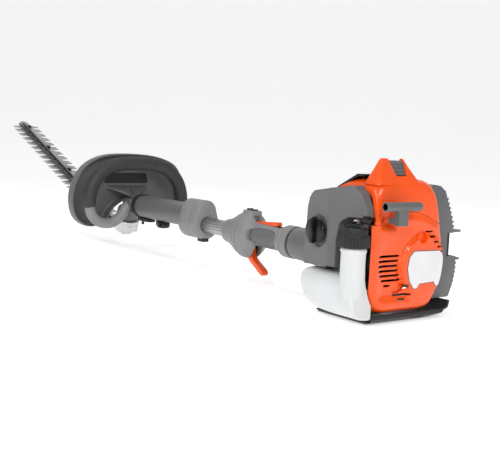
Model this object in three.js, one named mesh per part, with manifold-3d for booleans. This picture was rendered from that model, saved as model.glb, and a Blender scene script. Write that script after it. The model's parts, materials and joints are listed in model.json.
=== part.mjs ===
// Short-shaft petrol pole hedge trimmer. Millimetres, +X along the shaft towards the blades,
// +Y to the operator's left, +Z up. The origin is the centre of the flat foot under the engine.
import * as THREE from 'three';
import { mergeVertices } from 'three/addons/utils/BufferGeometryUtils.js';
import Module from 'manifold-3d';

const wasm = await Module();
wasm.setup();

// ---- Driving dimensions ----------------------------------------------------------------------
const GAP = 0.35; // clearance between neighbouring pieces
const WALL = 2.6; // moulded cover wall
const SHAFT_Z = 86; // height of the crank and drive shaft above the foot
const REAR_X = -65; // rear face of the starter cover
const COVER_SPLIT_X = -30; // front edge of the starter cover
const CRANK_END_X = -46; // rear end of the crankshaft
const SEAM_Z = 143; // seam between starter cover and cylinder cover
const NECK_AT = [-46, 86]; // fuel filler, in (X, Y)
const NECK_R = 18;
const CAP_R = 22.3;
const CAP_Z = [112.5, 140];
const CAP_TAB_TOP = 145;
const CHOKE_R = 5.5;
const CHOKE_AT = [-57, CAP_TAB_TOP + 1 + CHOKE_R]; // (X, Z), clear above the turning cap
const ENGINE_FRONT_X = 62;
const TUBE_R = 15;
const TUBE_BORE_R = 12.5;
const SHAFT_R = 4;
const GRIP_R = 20;
const RING_X = [185.5, 215];
const BELL_RIM_X = 322;
const BELL_FRONT_X = 389;
const COLLAR_X = [460, 522];
const SLEEVE_X = [490.5, 723];
const SLEEVE_Z = SHAFT_Z + 13; // the sleeve runs above the drive tube
const SLEEVE_R = 23.5;
const LOOP_X = 745;
const LOOP_TUBE_R = 11;
const LOOP_GRIP_R = 14.5;
const GUARD_X = [774, 800];
const HEAD = new THREE.Vector3(800, 0, 35.7); // gear centre in the blade plane
const BLADE_RISE = THREE.MathUtils.degToRad(20.8);
const BLADE_END = 668; // blade tip, measured from the gear centre
const BLADE_START = 42;
const TOOTH_PITCH = 31;
const TOOTH_REACH = 35;
const BLADE_STROKE = 9;
const BOLT_STATIONS = [333, 476, 620];
const BOLT_V = -4;
const SIDES = 24; // sides of a mid-sized round

// ---- Geometry helpers ------------------------------------------------------------------------
const clean = (geometry) => {
  const bare = geometry.index ? geometry.toNonIndexed() : geometry.clone();
  bare.deleteAttribute('normal');
  bare.deleteAttribute('uv');
  return mergeVertices(bare, 1e-4);
};

const toSolid = (geometry) => {
  const merged = clean(geometry);
  return new wasm.Manifold(
    new wasm.Mesh({
      numProp: 3,
      vertProperties: new Float32Array(merged.attributes.position.array),
      triVerts: new Uint32Array(merged.index.array),
    }),
  );
};

const toGeometry = (solid) => {
  const mesh = solid.getMesh();
  const stride = mesh.numProp;
  const count = mesh.vertProperties.length / stride;
  const positions = new Float32Array(count * 3);
  for (let i = 0; i < count; i += 1) {
    for (let k = 0; k < 3; k += 1) positions[3 * i + k] = mesh.vertProperties[stride * i + k];
  }
  const geometry = new THREE.BufferGeometry();
  geometry.setAttribute('position', new THREE.BufferAttribute(positions, 3));
  geometry.setIndex(new THREE.BufferAttribute(new Uint32Array(mesh.triVerts), 1));
  return geometry;
};

const cut = (base, ...tools) =>
  toGeometry(tools.reduce((solid, tool) => solid.subtract(toSolid(tool)), toSolid(base)));

const join = (base, ...others) =>
  toGeometry(others.reduce((solid, other) => solid.add(toSolid(other)), toSolid(base)));

const common = (base, ...others) =>
  toGeometry(others.reduce((solid, other) => solid.intersect(toSolid(other)), toSolid(base)));

const basis = (x, y, z, origin = new THREE.Vector3()) =>
  new THREE.Matrix4().makeBasis(x, y, z).setPosition(origin);

const UNIT_X = new THREE.Vector3(1, 0, 0);
const UNIT_Y = new THREE.Vector3(0, 1, 0);
const UNIT_Z = new THREE.Vector3(0, 0, 1);

const block = ([x0, x1], [y0, y1], [z0, z1]) =>
  new THREE.BoxGeometry(x1 - x0, y1 - y0, z1 - z0)
    .translate((x0 + x1) / 2, (y0 + y1) / 2, (z0 + z1) / 2);

// Round bar along X, Y or Z, with its axis through the other two coordinates.
const roundX = (radius, [x0, x1], y = 0, z = SHAFT_Z, sides = SIDES) =>
  new THREE.CylinderGeometry(radius, radius, x1 - x0, sides)
    .rotateZ(-Math.PI / 2)
    .translate((x0 + x1) / 2, y, z);
const roundY = (radius, [y0, y1], x, z, sides = SIDES) =>
  new THREE.CylinderGeometry(radius, radius, y1 - y0, sides).translate(x, (y0 + y1) / 2, z);
const roundZ = (radius, [z0, z1], x, y, sides = SIDES) =>
  new THREE.CylinderGeometry(radius, radius, z1 - z0, sides)
    .rotateX(Math.PI / 2)
    .translate(x, y, (z0 + z1) / 2);

// Outline in (Y, Z) run along X, in (X, Z) run along Y, in (X, Y) run along Z.
const prismX = (shape, [x0, x1]) =>
  new THREE.ExtrudeGeometry(shape, { depth: x1 - x0, bevelEnabled: false, curveSegments: 8 })
    .applyMatrix4(basis(UNIT_Y, UNIT_Z, UNIT_X, new THREE.Vector3(x0, 0, 0)));
const prismY = (shape, [y0, y1]) =>
  new THREE.ExtrudeGeometry(shape, { depth: y1 - y0, bevelEnabled: false, curveSegments: 8 })
    .applyMatrix4(basis(UNIT_X, UNIT_Z, UNIT_Y.clone().negate(), new THREE.Vector3(0, y1, 0)));
const prismZ = (shape, [z0, z1]) =>
  new THREE.ExtrudeGeometry(shape, { depth: z1 - z0, bevelEnabled: false, curveSegments: 8 })
    .translate(0, 0, z0);

const polygon = (points) => new THREE.Shape(points.map(([a, b]) => new THREE.Vector2(a, b)));

const smoothLoop = (points, count) => {
  const curve = new THREE.CatmullRomCurve3(
    points.map(([a, b]) => new THREE.Vector3(a, b, 0)), true, 'centripetal');
  return new THREE.Shape(
    curve.getSpacedPoints(count).slice(0, -1).map((p) => new THREE.Vector2(p.x, p.y)));
};

// Moves each point of an outline away from its middle by `grow` mm, inwards if negative.
const grownFrom = ([middleA, middleB], points, grow) => points.map(([a, b]) => {
  const scale = 1 + grow / Math.hypot(a - middleA, b - middleB);
  return [middleA + (a - middleA) * scale, middleB + (b - middleB) * scale];
});

// Turned piece about an axis along X: profile of [x, radius] pairs that closes on itself.
const turnedX = (profile, y = 0, z = SHAFT_Z, sides = SIDES) => {
  const points = [...profile, profile[0]].map(([x, r]) => new THREE.Vector2(r, x));
  const lathe = new THREE.LatheGeometry(points, sides);
  const solid = toSolid(lathe);
  const upright = solid.volume() > 0
    ? lathe
    : new THREE.LatheGeometry([...points].reverse(), sides);
  return upright.rotateZ(-Math.PI / 2).translate(0, y, z);
};
const pipeX = (outer, inner, [x0, x1], y = 0, z = SHAFT_Z, sides = SIDES) =>
  turnedX([[x0, inner], [x1, inner], [x1, outer], [x0, outer]], y, z, sides);

const tubeAlong = (points, radius, sides, steps) => {
  const ring = new THREE.Shape();
  for (let i = 0; i < sides; i += 1) {
    const angle = (2 * Math.PI * i) / sides;
    const x = radius * Math.cos(angle);
    const y = radius * Math.sin(angle);
    if (i === 0) ring.moveTo(x, y);
    else ring.lineTo(x, y);
  }
  const path = new THREE.CatmullRomCurve3(points.map((p) => new THREE.Vector3(...p)));
  return new THREE.ExtrudeGeometry(ring, { steps, extrudePath: path });
};

// Cutting-head frame: u along the blades, v to the left, w out of the blade plane, upwards.
const HEAD_U = new THREE.Vector3(Math.cos(BLADE_RISE), 0, Math.sin(BLADE_RISE));
const HEAD_W = new THREE.Vector3(-Math.sin(BLADE_RISE), 0, Math.cos(BLADE_RISE));
const HEAD_FRAME = basis(HEAD_U, UNIT_Y, HEAD_W, HEAD);
const inHead = (geometry) => geometry.applyMatrix4(HEAD_FRAME);

// ---- Assembly list ---------------------------------------------------------------------------
const trimmer = new THREE.Group();
trimmer.name = 'pole_hedge_trimmer';

const finish = (color, roughness, metalness) => ({ color, roughness, metalness });
const ORANGE = finish(0xf2500f, 0.35, 0);
const GREY = finish(0x55585a, 0.55, 0);
const MID_GREY = finish(0x7b7d7f, 0.5, 0);
const DARK = finish(0x2c2d2f, 0.6, 0);
const BLACK = finish(0x151515, 0.5, 0);
const WHITE = finish(0xe9ebea, 0.35, 0);
const STEEL = finish(0x9a9c9e, 0.35, 1);
const CAST = finish(0xc6c8ca, 0.45, 1);
const TUBE_GREY = finish(0x8d9092, 0.4, 0.5);

const add = (name, geometry, look) => {
  const mesh = new THREE.Mesh(geometry, new THREE.MeshStandardMaterial(look));
  mesh.name = name;
  trimmer.add(mesh);
};

// ---- Engine covers ---------------------------------------------------------------------------
// Rear outline of the orange covers, in (Y, Z), grown outwards from its middle by a few mm.
const COVER_MIDDLE = [-3, 108];
const orangeOutline = (grow) => {
  const points = [
    [-48, 17], [0, 15.5], [42, 17], [60, 30], [72, 58], [76, 90], [73, 130], [68, 170], [61, 196],
    [44, 207], [0, 209], [-40, 206], [-59, 192], [-69, 168], [-77, 135], [-84, 95], [-80, 60],
    [-66, 28],
  ];
  return smoothLoop(grownFrom(COVER_MIDDLE, points, grow), 44);
};
// The starter cover rises into an arch behind the pull handle; `grow` widens it.
const seamArch = (grow) => polygon([
  [44 + grow, SEAM_Z - 3], [32 + grow, 158 + grow], [8, 163 + grow], [-28, 161 + grow],
  [-48 - grow, 152 + grow], [-62 - grow, SEAM_Z - 3],
]);
const FAR = 400;
const below = (z) => block([-FAR, FAR], [-FAR, FAR], [-FAR, z]);
const above = (z) => block([-FAR, FAR], [-FAR, FAR], [z, FAR]);

const makeStarterCover = () => {
  const outer = prismX(orangeOutline(0), [REAR_X, COVER_SPLIT_X]);
  const lower = common(outer, join(below(SEAM_Z), prismX(seamArch(0), [-FAR, FAR])));
  const cavity = cut(
    common(prismX(orangeOutline(-WALL), [REAR_X + WALL, 0]), below(SEAM_Z - WALL)),
    roundZ(CAP_R + 1 + WALL, [0, 200], ...NECK_AT));
  const capRelief = roundZ(CAP_R + 1, [20, 200], ...NECK_AT);
  const slots = [];
  const SLOT_COUNT = 7;
  for (let i = 0; i < SLOT_COUNT; i += 1) {
    const z = 56 + 7.2 * i;
    slots.push(block([REAR_X - 1, REAR_X + 8], [12 + Math.max(0, 2 - i) * 5, 56], [z, z + 3.2]));
  }
  const lowSlots = [0, 1].map((i) =>
    block([REAR_X - 1, REAR_X + 8], [-12 + 6 * i, 26 - 4 * i], [40 - 7 * i, 43.2 - 7 * i]));
  const pulleyPost = roundX(5, [REAR_X + 1, CRANK_END_X - 1], 0, SHAFT_Z, 12);
  const dial = roundX(8, [REAR_X - 1, REAR_X + 1.6], -29, 125, 16);
  return join(cut(lower, cavity, capRelief, ...slots, ...lowSlots, dial), pulleyPost);
};

const TURRET_X = [-62, -29];
// The roof falls away towards the front from NOSE_TOP; everything above this line is cut off.
const NOSE_TOP = [-14, 207.5];
const NOSE_SLOPE = 0.47;
const noseZ = (x) => NOSE_TOP[1] - NOSE_SLOPE * (x - NOSE_TOP[0]);
const noseOutline = (shift) => polygon([
  [NOSE_TOP[0], 260], [90, 260], [90, noseZ(90) + shift], [NOSE_TOP[0], NOSE_TOP[1] + shift],
]);
// The insert leans out to the left on the turret's rear face; `grow` widens it.
const insertFace = (grow) => polygon([
  [22 + grow, 212.4 - grow], [31 + grow, 240], [0 - grow, 240], [0 - grow, 212.4 - grow],
]);
const makeCylinderCover = () => {
  const shell = prismX(orangeOutline(0), [REAR_X, 44]);
  const turretOutline = polygon([[61, 200], [41, 237], [-2, 237], [-26, 200]]);
  const turretSide = polygon([[-62, 200], [-45, 237], [-38, 237], [-30, 200]]);
  const turret = common(prismX(turretOutline, TURRET_X), prismY(turretSide, [-60, 60]));
  const outer = common(join(shell, turret), above(SEAM_Z + GAP));
  const nose = prismY(noseOutline(0), [-100, 100]);
  const cavity = common(
    prismX(orangeOutline(-WALL), [REAR_X + WALL, 60]), below(209 - WALL));
  const filterBay = block([-FAR, FAR], [62, 120], [0, 203]);
  const noseCavity = prismY(noseOutline(-WALL), [-100, 100]);
  const arch = prismX(seamArch(GAP), [-FAR, FAR]);
  const insertSeat = prismX(insertFace(GAP), [-66, -30]);
  const chokeHole = roundY(3 + GAP, [40, 80], ...CHOKE_AT, 12);
  return cut(outer, nose, cut(cavity, noseCavity), arch, filterBay, insertSeat, chokeHole);
};

const makeCoverInsert = () => {
  const side = polygon([[-50, 212.4], [-42, 233], [-30.5, 233], [-30.5, 212.4]]);
  return common(prismY(side, [-40, 40]), prismX(insertFace(0), [-60, -30]));
};

const makeTopPlate = () =>
  prismY(polygon([
    [0, noseZ(0) + GAP], [56, noseZ(56) + GAP], [58, noseZ(56) + 3], [2, noseZ(0) + 3],
  ]), [-40, 58]);

const BOX_Y = [62.6, 92];
const BOX_X = [-63, 71];
const filterPlan = (inset) => polygon([
  [BOX_X[0] + inset, BOX_Y[0] - 1], [BOX_X[0] + inset, 76 - inset], [-1, BOX_Y[1] - inset],
  [8, BOX_Y[1] - inset], [BOX_X[1] - inset, 82 - inset], [BOX_X[1] - inset, BOX_Y[0] - 1],
]);
const filterSide = (inset) => polygon(grownFrom([0, 130], [
  [BOX_X[0], 78], [3, 79], [BOX_X[1], 73], [67, 125], [65, 160], [59, 177], [48, 185], [8, 191],
  [-43, 198.5], [-54, 188], [-62.7, 164],
], -inset));
const KNOB_AT = [30, 127.5];
const makeFilterCover = () => {
  const outer = common(prismZ(filterPlan(0), [60, 220]), prismY(filterSide(0), [BOX_Y[0], 100]));
  const cavity = common(
    prismZ(filterPlan(WALL), [60, 220]), prismY(filterSide(WALL), [BOX_Y[0] - 2, 100]));
  const capBay = block([-66, -12], [BOX_Y[0] - 3, 110], [60, 153]);
  const chokeNotch = block([-66, CHOKE_AT[0] + 8], [BOX_Y[0] - 3, 110], [140, 159]);
  const knobHole = roundY(6.4, [80, 100], KNOB_AT[0], KNOB_AT[1], 16);
  return cut(outer, cavity, capBay, chokeNotch, knobHole);
};
const makeFilterKnob = () => join(
  roundY(6, [84, 92.6], KNOB_AT[0], KNOB_AT[1], 16),
  roundY(21, [92.6, 96], KNOB_AT[0], KNOB_AT[1], SIDES),
  block([KNOB_AT[0] - 4, KNOB_AT[0] + 4], [95, 104], [KNOB_AT[1] - 18, KNOB_AT[1] + 18]),
);
const makeAirFilter = () => cut(
  block([-6, 50], [64, 80.5], [92, 160]), block([4, 40], [60, 75], [102, 150]));

const tankOutline = (inset) => {
  const points = [
    [100, 60], [101, 42], [95, 21], [80, 10.5], [50, 8], [6, 8], [-4, 15], [-6, 24], [14, 34],
    [44, 46], [54, 60], [62, 70], [88, 70],
  ];
  return smoothLoop(grownFrom([70, 34], points, -inset), 30);
};
const tankSide = (inset) => prismY(polygon(grownFrom([-10, 60], [
  [-70, 4], [-70, 130], [52, 130], [52, 66], [49, 48], [41, 32], [22, 16.5], [-20, 7],
], -inset)), [-100, 120]);
const makeFuelTank = () => {
  const body = join(
    prismX(tankOutline(0), [COVER_SPLIT_X + GAP, 60]),
    common(prismX(tankOutline(0), [REAR_X + 4, 0]), block([-100, 60], [61, 104], [0, 72])),
    roundZ(NECK_R, [40, CAP_Z[0] - GAP], ...NECK_AT),
  );
  const outer = common(body, tankSide(0));
  const starterRelief = prismX(orangeOutline(1), [REAR_X - 2, COVER_SPLIT_X + GAP]);
  const hollow = join(
    prismX(tankOutline(3), [COVER_SPLIT_X + 3, 57]),
    block([-54, -20], [82, 90], [20, 60]),
    roundZ(NECK_R - 3, [30, 130], ...NECK_AT, SIDES),
  );
  const room = common(cut(hollow, prismX(orangeOutline(3), [-90, COVER_SPLIT_X + 3])), tankSide(4));
  return cut(outer, starterRelief, roundZ(NECK_R - 3, [60, 130], ...NECK_AT), room);
};
const makeFuelCap = () => {
  const skirt = roundZ(CAP_R, CAP_Z, ...NECK_AT, SIDES);
  const grip = block([-66, -26], [82.5, 89.5], [CAP_Z[1] - 1, CAP_TAB_TOP]);
  return join(skirt, common(grip, roundZ(20, [100, 150], ...NECK_AT, SIDES)),
    roundZ(NECK_R - 4, [104, CAP_Z[0] + 1], ...NECK_AT, 16));
};
const makeChokeKnob = () => join(
  roundY(CHOKE_R, [70, 80], ...CHOKE_AT, 16), roundY(3, [50, 71], ...CHOKE_AT, 12));

const makeBaseGuard = () => {
  const tray = polygon([
    [-104, 26], [-101, 15], [-80, 6.5], [-52, 0], [56, 0], [62, 5], [62, 5.1], [54, 5.1],
    [-50, 4.6], [-78, 11], [-97, 18], [-99, 26],
  ]);
  const rearLip = cut(
    prismX(polygon([[-96, 30], [-88, 8], [-58, 1], [52, 1], [60, 8], [60, 24]]), [-61, -57]),
    prismX(orangeOutline(GAP + 0.3), [-80, 0]));
  // The tray curves up behind its foot.
  const sweptRear = prismY(polygon([[-70, -5], [-70, 8.5], [-61, 8.5], [-54, 3], [-46, 0], [-46, -5]]),
    [-150, 150]);
  return cut(join(prismX(tray, [-60, 58]), common(rearLip, below(15))), sweptRear);
};

const GUARD_MIDDLE = [-70, 105];
const mufflerOutline = (grow) => smoothLoop(grownFrom(GUARD_MIDDLE, [
  [-56, 196], [-78, 199], [-94, 193.5], [-103, 176], [-113.5, 151], [-124, 110], [-129, 80],
  [-125.5, 50], [-114, 24], [-102, 13], [-60, 30],
], grow), 30);
const makeMufflerGuard = () => {
  const outer = prismX(mufflerOutline(0), [-44, 55]);
  const inner = prismX(mufflerOutline(-3.6), [-41, 60]);
  const relief = prismX(orangeOutline(1.2), [-90, 90]);
  const bay = block([-41, 60], [-100, 0], [20, 186]);
  const recess = block([-50, 34], [-140, -107], [90, 126]);
  const slots = [];
  const ROWS = 6;
  for (let i = 0; i < ROWS; i += 1) {
    slots.push(block([-12, 40], [-140, -100], [146 - 7.5 * i, 149.5 - 7.5 * i]));
    slots.push(block([-12, 40], [-140, -100], [74 - 7.5 * i, 77.5 - 7.5 * i]));
  }
  const trim = block([-60, 60], [-200, -58], [27.5, 260]);
  const shell = common(cut(outer, join(inner, bay), relief, recess, ...slots), trim);
  const fins = [84, 127].map((z) => block([-43.5, -20], [-137, -113], [z, z + 3.5]));
  return join(shell, ...fins);
};

// ---- Engine inner pieces ---------------------------------------------------------------------
const CYLINDER_X = 20;
const BORE_R = 17.4;
const CRANK_BAY_X = [4, 36];
const makeCrankcase = () => {
  const body = join(
    roundX(38, [-20, 60]),
    block([-8, 48], [-24, 24], [SHAFT_Z, 124.6]),
    block([-14, 56], [-26, 4], [36, 70]));
  return cut(body,
    roundX(26.5, CRANK_BAY_X),
    roundZ(BORE_R, [SHAFT_Z, 130], CYLINDER_X, 0),
    roundX(8, [-30, 70], 0, SHAFT_Z, 16),
    roundX(13.4, [-30, -8]),
    roundX(13.4, [46, 70]));
};
const makeBearing = (x) => pipeX(13, 6.4, [x, x + 9], 0, SHAFT_Z, 16);
const makeCylinder = () => {
  const core = roundZ(22, [125, 175], CYLINDER_X, 0);
  const fins = [];
  const FIN_COUNT = 5;
  for (let i = 0; i < FIN_COUNT; i += 1) {
    fins.push(roundZ(31, [135 + 8.5 * i, 137.5 + 8.5 * i], CYLINDER_X, 0, 16));
  }
  const flange = block([-8, 48], [-24, 24], [125, 131]);
  return cut(join(core, flange, ...fins),
    roundZ(BORE_R, [120, 170.6], CYLINDER_X, 0), roundZ(4.4, [165, 200], CYLINDER_X, 0, 12));
};
const makePiston = () => cut(
  roundZ(17, [122, 146], CYLINDER_X, 0), roundZ(13.5, [120, 141], CYLINDER_X, 0, 16));
const makeSparkPlug = () => join(
  roundZ(4, [171, 178], CYLINDER_X, 0, 12), roundZ(6.5, [175.4, 182], CYLINDER_X, 0, 12));
const CRANK_THROW = 12; // half the piston's stroke
const makeCrankshaft = () => join(
  roundX(6, [CRANK_END_X, CRANK_BAY_X[0] + 8], 0, SHAFT_Z, 16),
  roundX(6, [CRANK_BAY_X[1] - 8, 74], 0, SHAFT_Z, 16),
  roundX(23, [CRANK_BAY_X[0] + 2, CRANK_BAY_X[0] + 8]),
  roundX(23, [CRANK_BAY_X[1] - 8, CRANK_BAY_X[1] - 2]),
  roundX(5, [CRANK_BAY_X[0] + 7, CRANK_BAY_X[1] - 7], 0, SHAFT_Z - CRANK_THROW, 12));
const makeFlywheel = () => {
  const blades = [];
  const BLADE_COUNT = 12;
  for (let i = 0; i < BLADE_COUNT; i += 1) {
    const vane = block([-41, -33], [21, 44], [-1.2, 1.2])
      .rotateX((2 * Math.PI * i) / BLADE_COUNT)
      .translate(0, 0, SHAFT_Z);
    blades.push(vane);
  }
  return cut(join(roundX(46, [-35, -31]), roundX(24, [-42, -31]), ...blades),
    roundX(6.35, [-60, 0], 0, SHAFT_Z, 16));
};
const makePulley = () => turnedX(
  [[-55, 5.4], [-48, 5.4], [-48, 26], [-50, 26], [-50, 20], [-53, 20], [-53, 26], [-55, 26]]);
const makeRecoilSpring = () => {
  const turns = 3;
  const points = [];
  const STEPS = 24;
  for (let i = 0; i <= STEPS; i += 1) {
    const angle = (2 * Math.PI * turns * i) / STEPS;
    const radius = 9 + (11 * i) / STEPS;
    points.push([-56.6, radius * Math.cos(angle), SHAFT_Z + radius * Math.sin(angle)]);
  }
  return tubeAlong(points, 1, 5, 40);
};
const HANDLE_X = -87;
const makePullHandle = () => {
  const bar = cut(roundY(8, [1, 76], HANDLE_X, 172, 16), roundY(5, [62, 80], HANDLE_X, 172, 12));
  const stem = prismY(polygon([
    [HANDLE_X - 6, 172], [HANDLE_X - 6, 152], [HANDLE_X - 1, 144], [-66, 144], [-66, 155],
    [HANDLE_X + 6, 163], [HANDLE_X + 6, 172],
  ]), [29, 49]);
  return join(bar, stem);
};
const makeIgnitionCoil = () => join(
  block([-29, -15], [-14, 14], [133.4, 142]), block([-27, -17], [-20, 20], [141, 152]));
const makeCarburettor = () => cut(
  join(block([2, 36], [38, 60], [112, 142]), roundY(9, [36, 61.8], 19, 128, 16)),
  roundY(6, [30, 70], 19, 128, 12));
const makeMuffler = () => cut(
  block([-14, 46], [-96, -40], [90, 141]), roundX(6, [30, 60], -76, 104, 12),
  block([-11, 40], [-93, -43], [93, 138]));

// ---- Clutch, drive tube and throttle handle ---------------------------------------------------
const makeClutchShoes = () => cut(
  turnedX([[64, 6.35], [74, 6.35], [74, 22], [64, 22]]),
  block([60, 80], [12, 30], [SHAFT_Z - 1, SHAFT_Z + 1]),
  block([60, 80], [-30, -12], [SHAFT_Z - 1, SHAFT_Z + 1]));
const makeClutchDrum = () => turnedX(
  [[63, 23], [78, 23], [78, SHAFT_R + 0.01], [90, SHAFT_R + 0.01], [90, 9], [81, 9], [81, 26],
    [63, 26]]);
const makeDriveShaft = () => join(
  roundX(SHAFT_R - 0.02, [79, PINION_BACK_X - GAP], 0, SHAFT_Z, 12),
  roundX(1.2, [PINION_BACK_X - 2, PINION_BACK_X + PINION_LENGTH], 0, SHAFT_Z, 8));
const makeClutchHousing = () => {
  const profile = [
    [ENGINE_FRONT_X + GAP, 29], [ENGINE_FRONT_X + GAP, 46], [74, 46], [96, 36], [150, 28],
    [181, 27], [181, 15.4], [120, 15.4], [100, 28], [84, 29],
  ];
  const cableNotch = block([60, 76], [-4, 60], [112, 140]);
  return cut(turnedX(profile), cableNotch);
};
const makeDamperRing = () => pipeX(25, TUBE_R + GAP, [181.3, 185.2]);
const makeRearRing = () => turnedX(
  [[RING_X[0], TUBE_R + GAP], [RING_X[0], 27.5], [206, 27.5], [RING_X[1], 23],
    [RING_X[1], TUBE_R + GAP]]);
const FLUTES = 16;
const makeDriveTube = () => {
  const flutedRadius = (i) => (i % 2 === 0 ? TUBE_R : TUBE_R - 0.9);
  const outline = new THREE.Shape();
  for (let i = 0; i < 2 * FLUTES; i += 1) {
    const angle = (Math.PI * i) / FLUTES;
    const y = flutedRadius(i) * Math.cos(angle);
    const z = SHAFT_Z + flutedRadius(i) * Math.sin(angle);
    if (i === 0) outline.moveTo(y, z);
    else outline.lineTo(y, z);
  }
  return cut(prismX(outline, [104, 488]), roundX(TUBE_BORE_R, [90, 500]));
};
const makeBush = (x) => pipeX(TUBE_BORE_R - GAP, SHAFT_R + 0.3, [x, x + 14], 0, SHAFT_Z, 16);

const SWITCH_AT = [300, 330];
const BELL_Y_SCALE = 0.88;
const BELL_Z_SCALE = 1.14;
const bellBody = (profile) => turnedX(profile, 0, 0)
  .scale(1, BELL_Y_SCALE, BELL_Z_SCALE)
  .translate(0, 0, SHAFT_Z - 2);
const makeBellCover = () => {
  const outer = bellBody([
    [BELL_RIM_X + GAP, 1], [BELL_RIM_X + GAP, 37], [334, 35], [350, 29], [368, 22],
    [BELL_FRONT_X, 18.4], [BELL_FRONT_X, 1],
  ]);
  const cavity = bellBody([
    [BELL_RIM_X - 1, 0.5], [BELL_RIM_X - 1, 34], [334, 32], [350, 26], [364, 19.6], [364, 0.5],
  ]);
  const switchRelief = block([290, SWITCH_AT[1] + GAP], [-11.4, 11.4], [100, 140]);
  return cut(outer, cavity, switchRelief, roundX(TUBE_R + GAP, [300, 400]));
};
const handleBody = () => {
  const grip = roundX(GRIP_R, [RING_X[1] + GAP, 306]);
  const rim = bellBody([
    [290, 1], [290, 20], [302, 33], [310, 37], [BELL_RIM_X, 37], [BELL_RIM_X, 1],
  ]);
  const switchBox = block(SWITCH_AT, [-11, 11], [110, 129]);
  const bellHollow = bellBody([
    [306, 0.5], [306, 28], [312, 34], [BELL_RIM_X + 1, 34], [BELL_RIM_X + 1, 0.5],
  ]);
  const gripHollow = roundX(GRIP_R - WALL, [RING_X[1] + 5, 330]);
  const triggerBay = block([272, 318], [-9, 9], [30, 74]);
  const lockoutSlot = block([230, 303.5], [-6.3, 6.3], [100, 120]);
  const rockerBay = block([304, 326], [-7, 7], [122, 132]);
  const solid = join(grip, rim, switchBox);
  return cut(solid, bellHollow, gripHollow, triggerBay, lockoutSlot, rockerBay,
    roundX(TUBE_R + GAP, [200, 340]));
};
const half = (side) => block([200, 340], side > 0 ? [GAP / 2, 80] : [-80, -GAP / 2], [0, 160]);
const makeHandleHalf = (side) => common(handleBody(), half(side));
const TRIGGER_PIVOT = [312, 60];
const makeTrigger = () => {
  const side = polygon([
    [316, 63], [308.5, 63], [306, 52], [300, 44], [286, 36], [272, 27.5], [268, 22], [271, 17],
    [278, 18.5], [292, 27], [306, 35], [314, 42], [317, 52],
  ]);
  return cut(prismY(side, [-6.5, 6.5]),
    roundY(2.35, [-20, 20], TRIGGER_PIVOT[0], TRIGGER_PIVOT[1], 12));
};
const makeTriggerPin = () => roundY(2, [-8.6, 8.6], TRIGGER_PIVOT[0], TRIGGER_PIVOT[1], 12);
const makeLockout = () => prismY(polygon([
  [302, 103.4], [302, 109.5], [296, 110.5], [236, 115], [233.5, 113], [234, 108], [262, 105.4],
  [290, 103.4],
]), [-5.6, 5.6]);
const makeStopSwitch = () => prismY(polygon([
  [305, 124], [325, 124], [324, 132], [316, 129.5], [306, 131],
]), [-6, 6]);

// ---- Front section ----------------------------------------------------------------------------
const eggShape = (lowR, highR, highZ) => {
  const tilt = Math.asin((lowR - highR) / (highZ - SHAFT_Z));
  const shape = new THREE.Shape();
  shape.absarc(0, SHAFT_Z, lowR, Math.PI - tilt, tilt, false);
  shape.absarc(0, highZ, highR, tilt, Math.PI - tilt, false);
  return new THREE.Shape(shape.getPoints(10));
};
const makeCollar = () => {
  const outer = prismX(eggShape(28.5, 22, 111), [COLLAR_X[0] + 2, COLLAR_X[1]]);
  const lip = prismX(eggShape(26.5, 20, 111), [COLLAR_X[0], COLLAR_X[0] + 3]);
  return cut(join(outer, lip),
    roundX(TUBE_R + GAP, [COLLAR_X[0] - 1, SLEEVE_X[0] - 1]),
    roundX(SLEEVE_R + GAP, [SLEEVE_X[0] - 1.5, COLLAR_X[1] + 1], 0, SLEEVE_Z),
    block([LATCH_X[0] - 0.5, LATCH_X[1] + 0.5], [-7.5, 7.5], [50, 65]));
};
const LATCH_X = [463, 484];
const makeCollarLatch = () => block(LATCH_X, [-7, 7], [52.5, 60.5]);
const makeSleeve = () => pipeX(SLEEVE_R, SLEEVE_R - 3, SLEEVE_X, 0, SLEEVE_Z);
const makeLinerTube = () => pipeX(7, 5, [SLEEVE_X[0], 740], 0, SHAFT_Z, 16);
const makeSleeveBand = () => {
  const band = pipeX(SLEEVE_R + 2.2, SLEEVE_R + GAP, [710, SLEEVE_X[1]], 0, SLEEVE_Z);
  const plate = block([676, 722.5], [-9, 9], [68, 74.5]);
  return join(band, plate, roundZ(3, [60, 69], 714, 0, 12));
};
const CLAMP_X = [726.5, 762];
const LOOP_ROUTE = [
  [LOOP_X, 4, 99], [LOOP_X, 22, 97], [LOOP_X, 36, 78], [LOOP_X, 58, 62], [LOOP_X, 86, 63],
  [LOOP_X, 105, 78], [LOOP_X, 112, 100], [LOOP_X, 111, 124], [LOOP_X, 100, 152],
  [LOOP_X, 76, 176], [LOOP_X, 40, 187], [LOOP_X, 0, 189], [LOOP_X, -40, 187],
  [LOOP_X, -76, 176], [LOOP_X, -100, 152], [LOOP_X, -111, 124], [LOOP_X, -112, 100],
  [LOOP_X, -102, 84], [LOOP_X, -80, 78], [LOOP_X, -48, 84], [LOOP_X, -22, 97],
  [LOOP_X, -4, 99],
];
const LOOP_STEPS = 44;
const makeLoopTube = () => cut(
  tubeAlong(LOOP_ROUTE, LOOP_TUBE_R, 10, LOOP_STEPS), roundX(13 + GAP, [700, 800]));
const makeLoopGrip = () => {
  const LOWEST = 96;
  const sleeve = tubeAlong(LOOP_ROUTE, LOOP_GRIP_R, 12, LOOP_STEPS);
  const bore = tubeAlong(LOOP_ROUTE, LOOP_TUBE_R + GAP, 10, LOOP_STEPS);
  const bareTube = block([LOOP_X - 30, LOOP_X + 30], [-200, 200], [0, LOWEST]);
  const clampRoom = block([LOOP_X - 30, LOOP_X + 30], [-60, 60], [0, 160]);
  return cut(sleeve, bore, bareTube, clampRoom);
};
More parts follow.
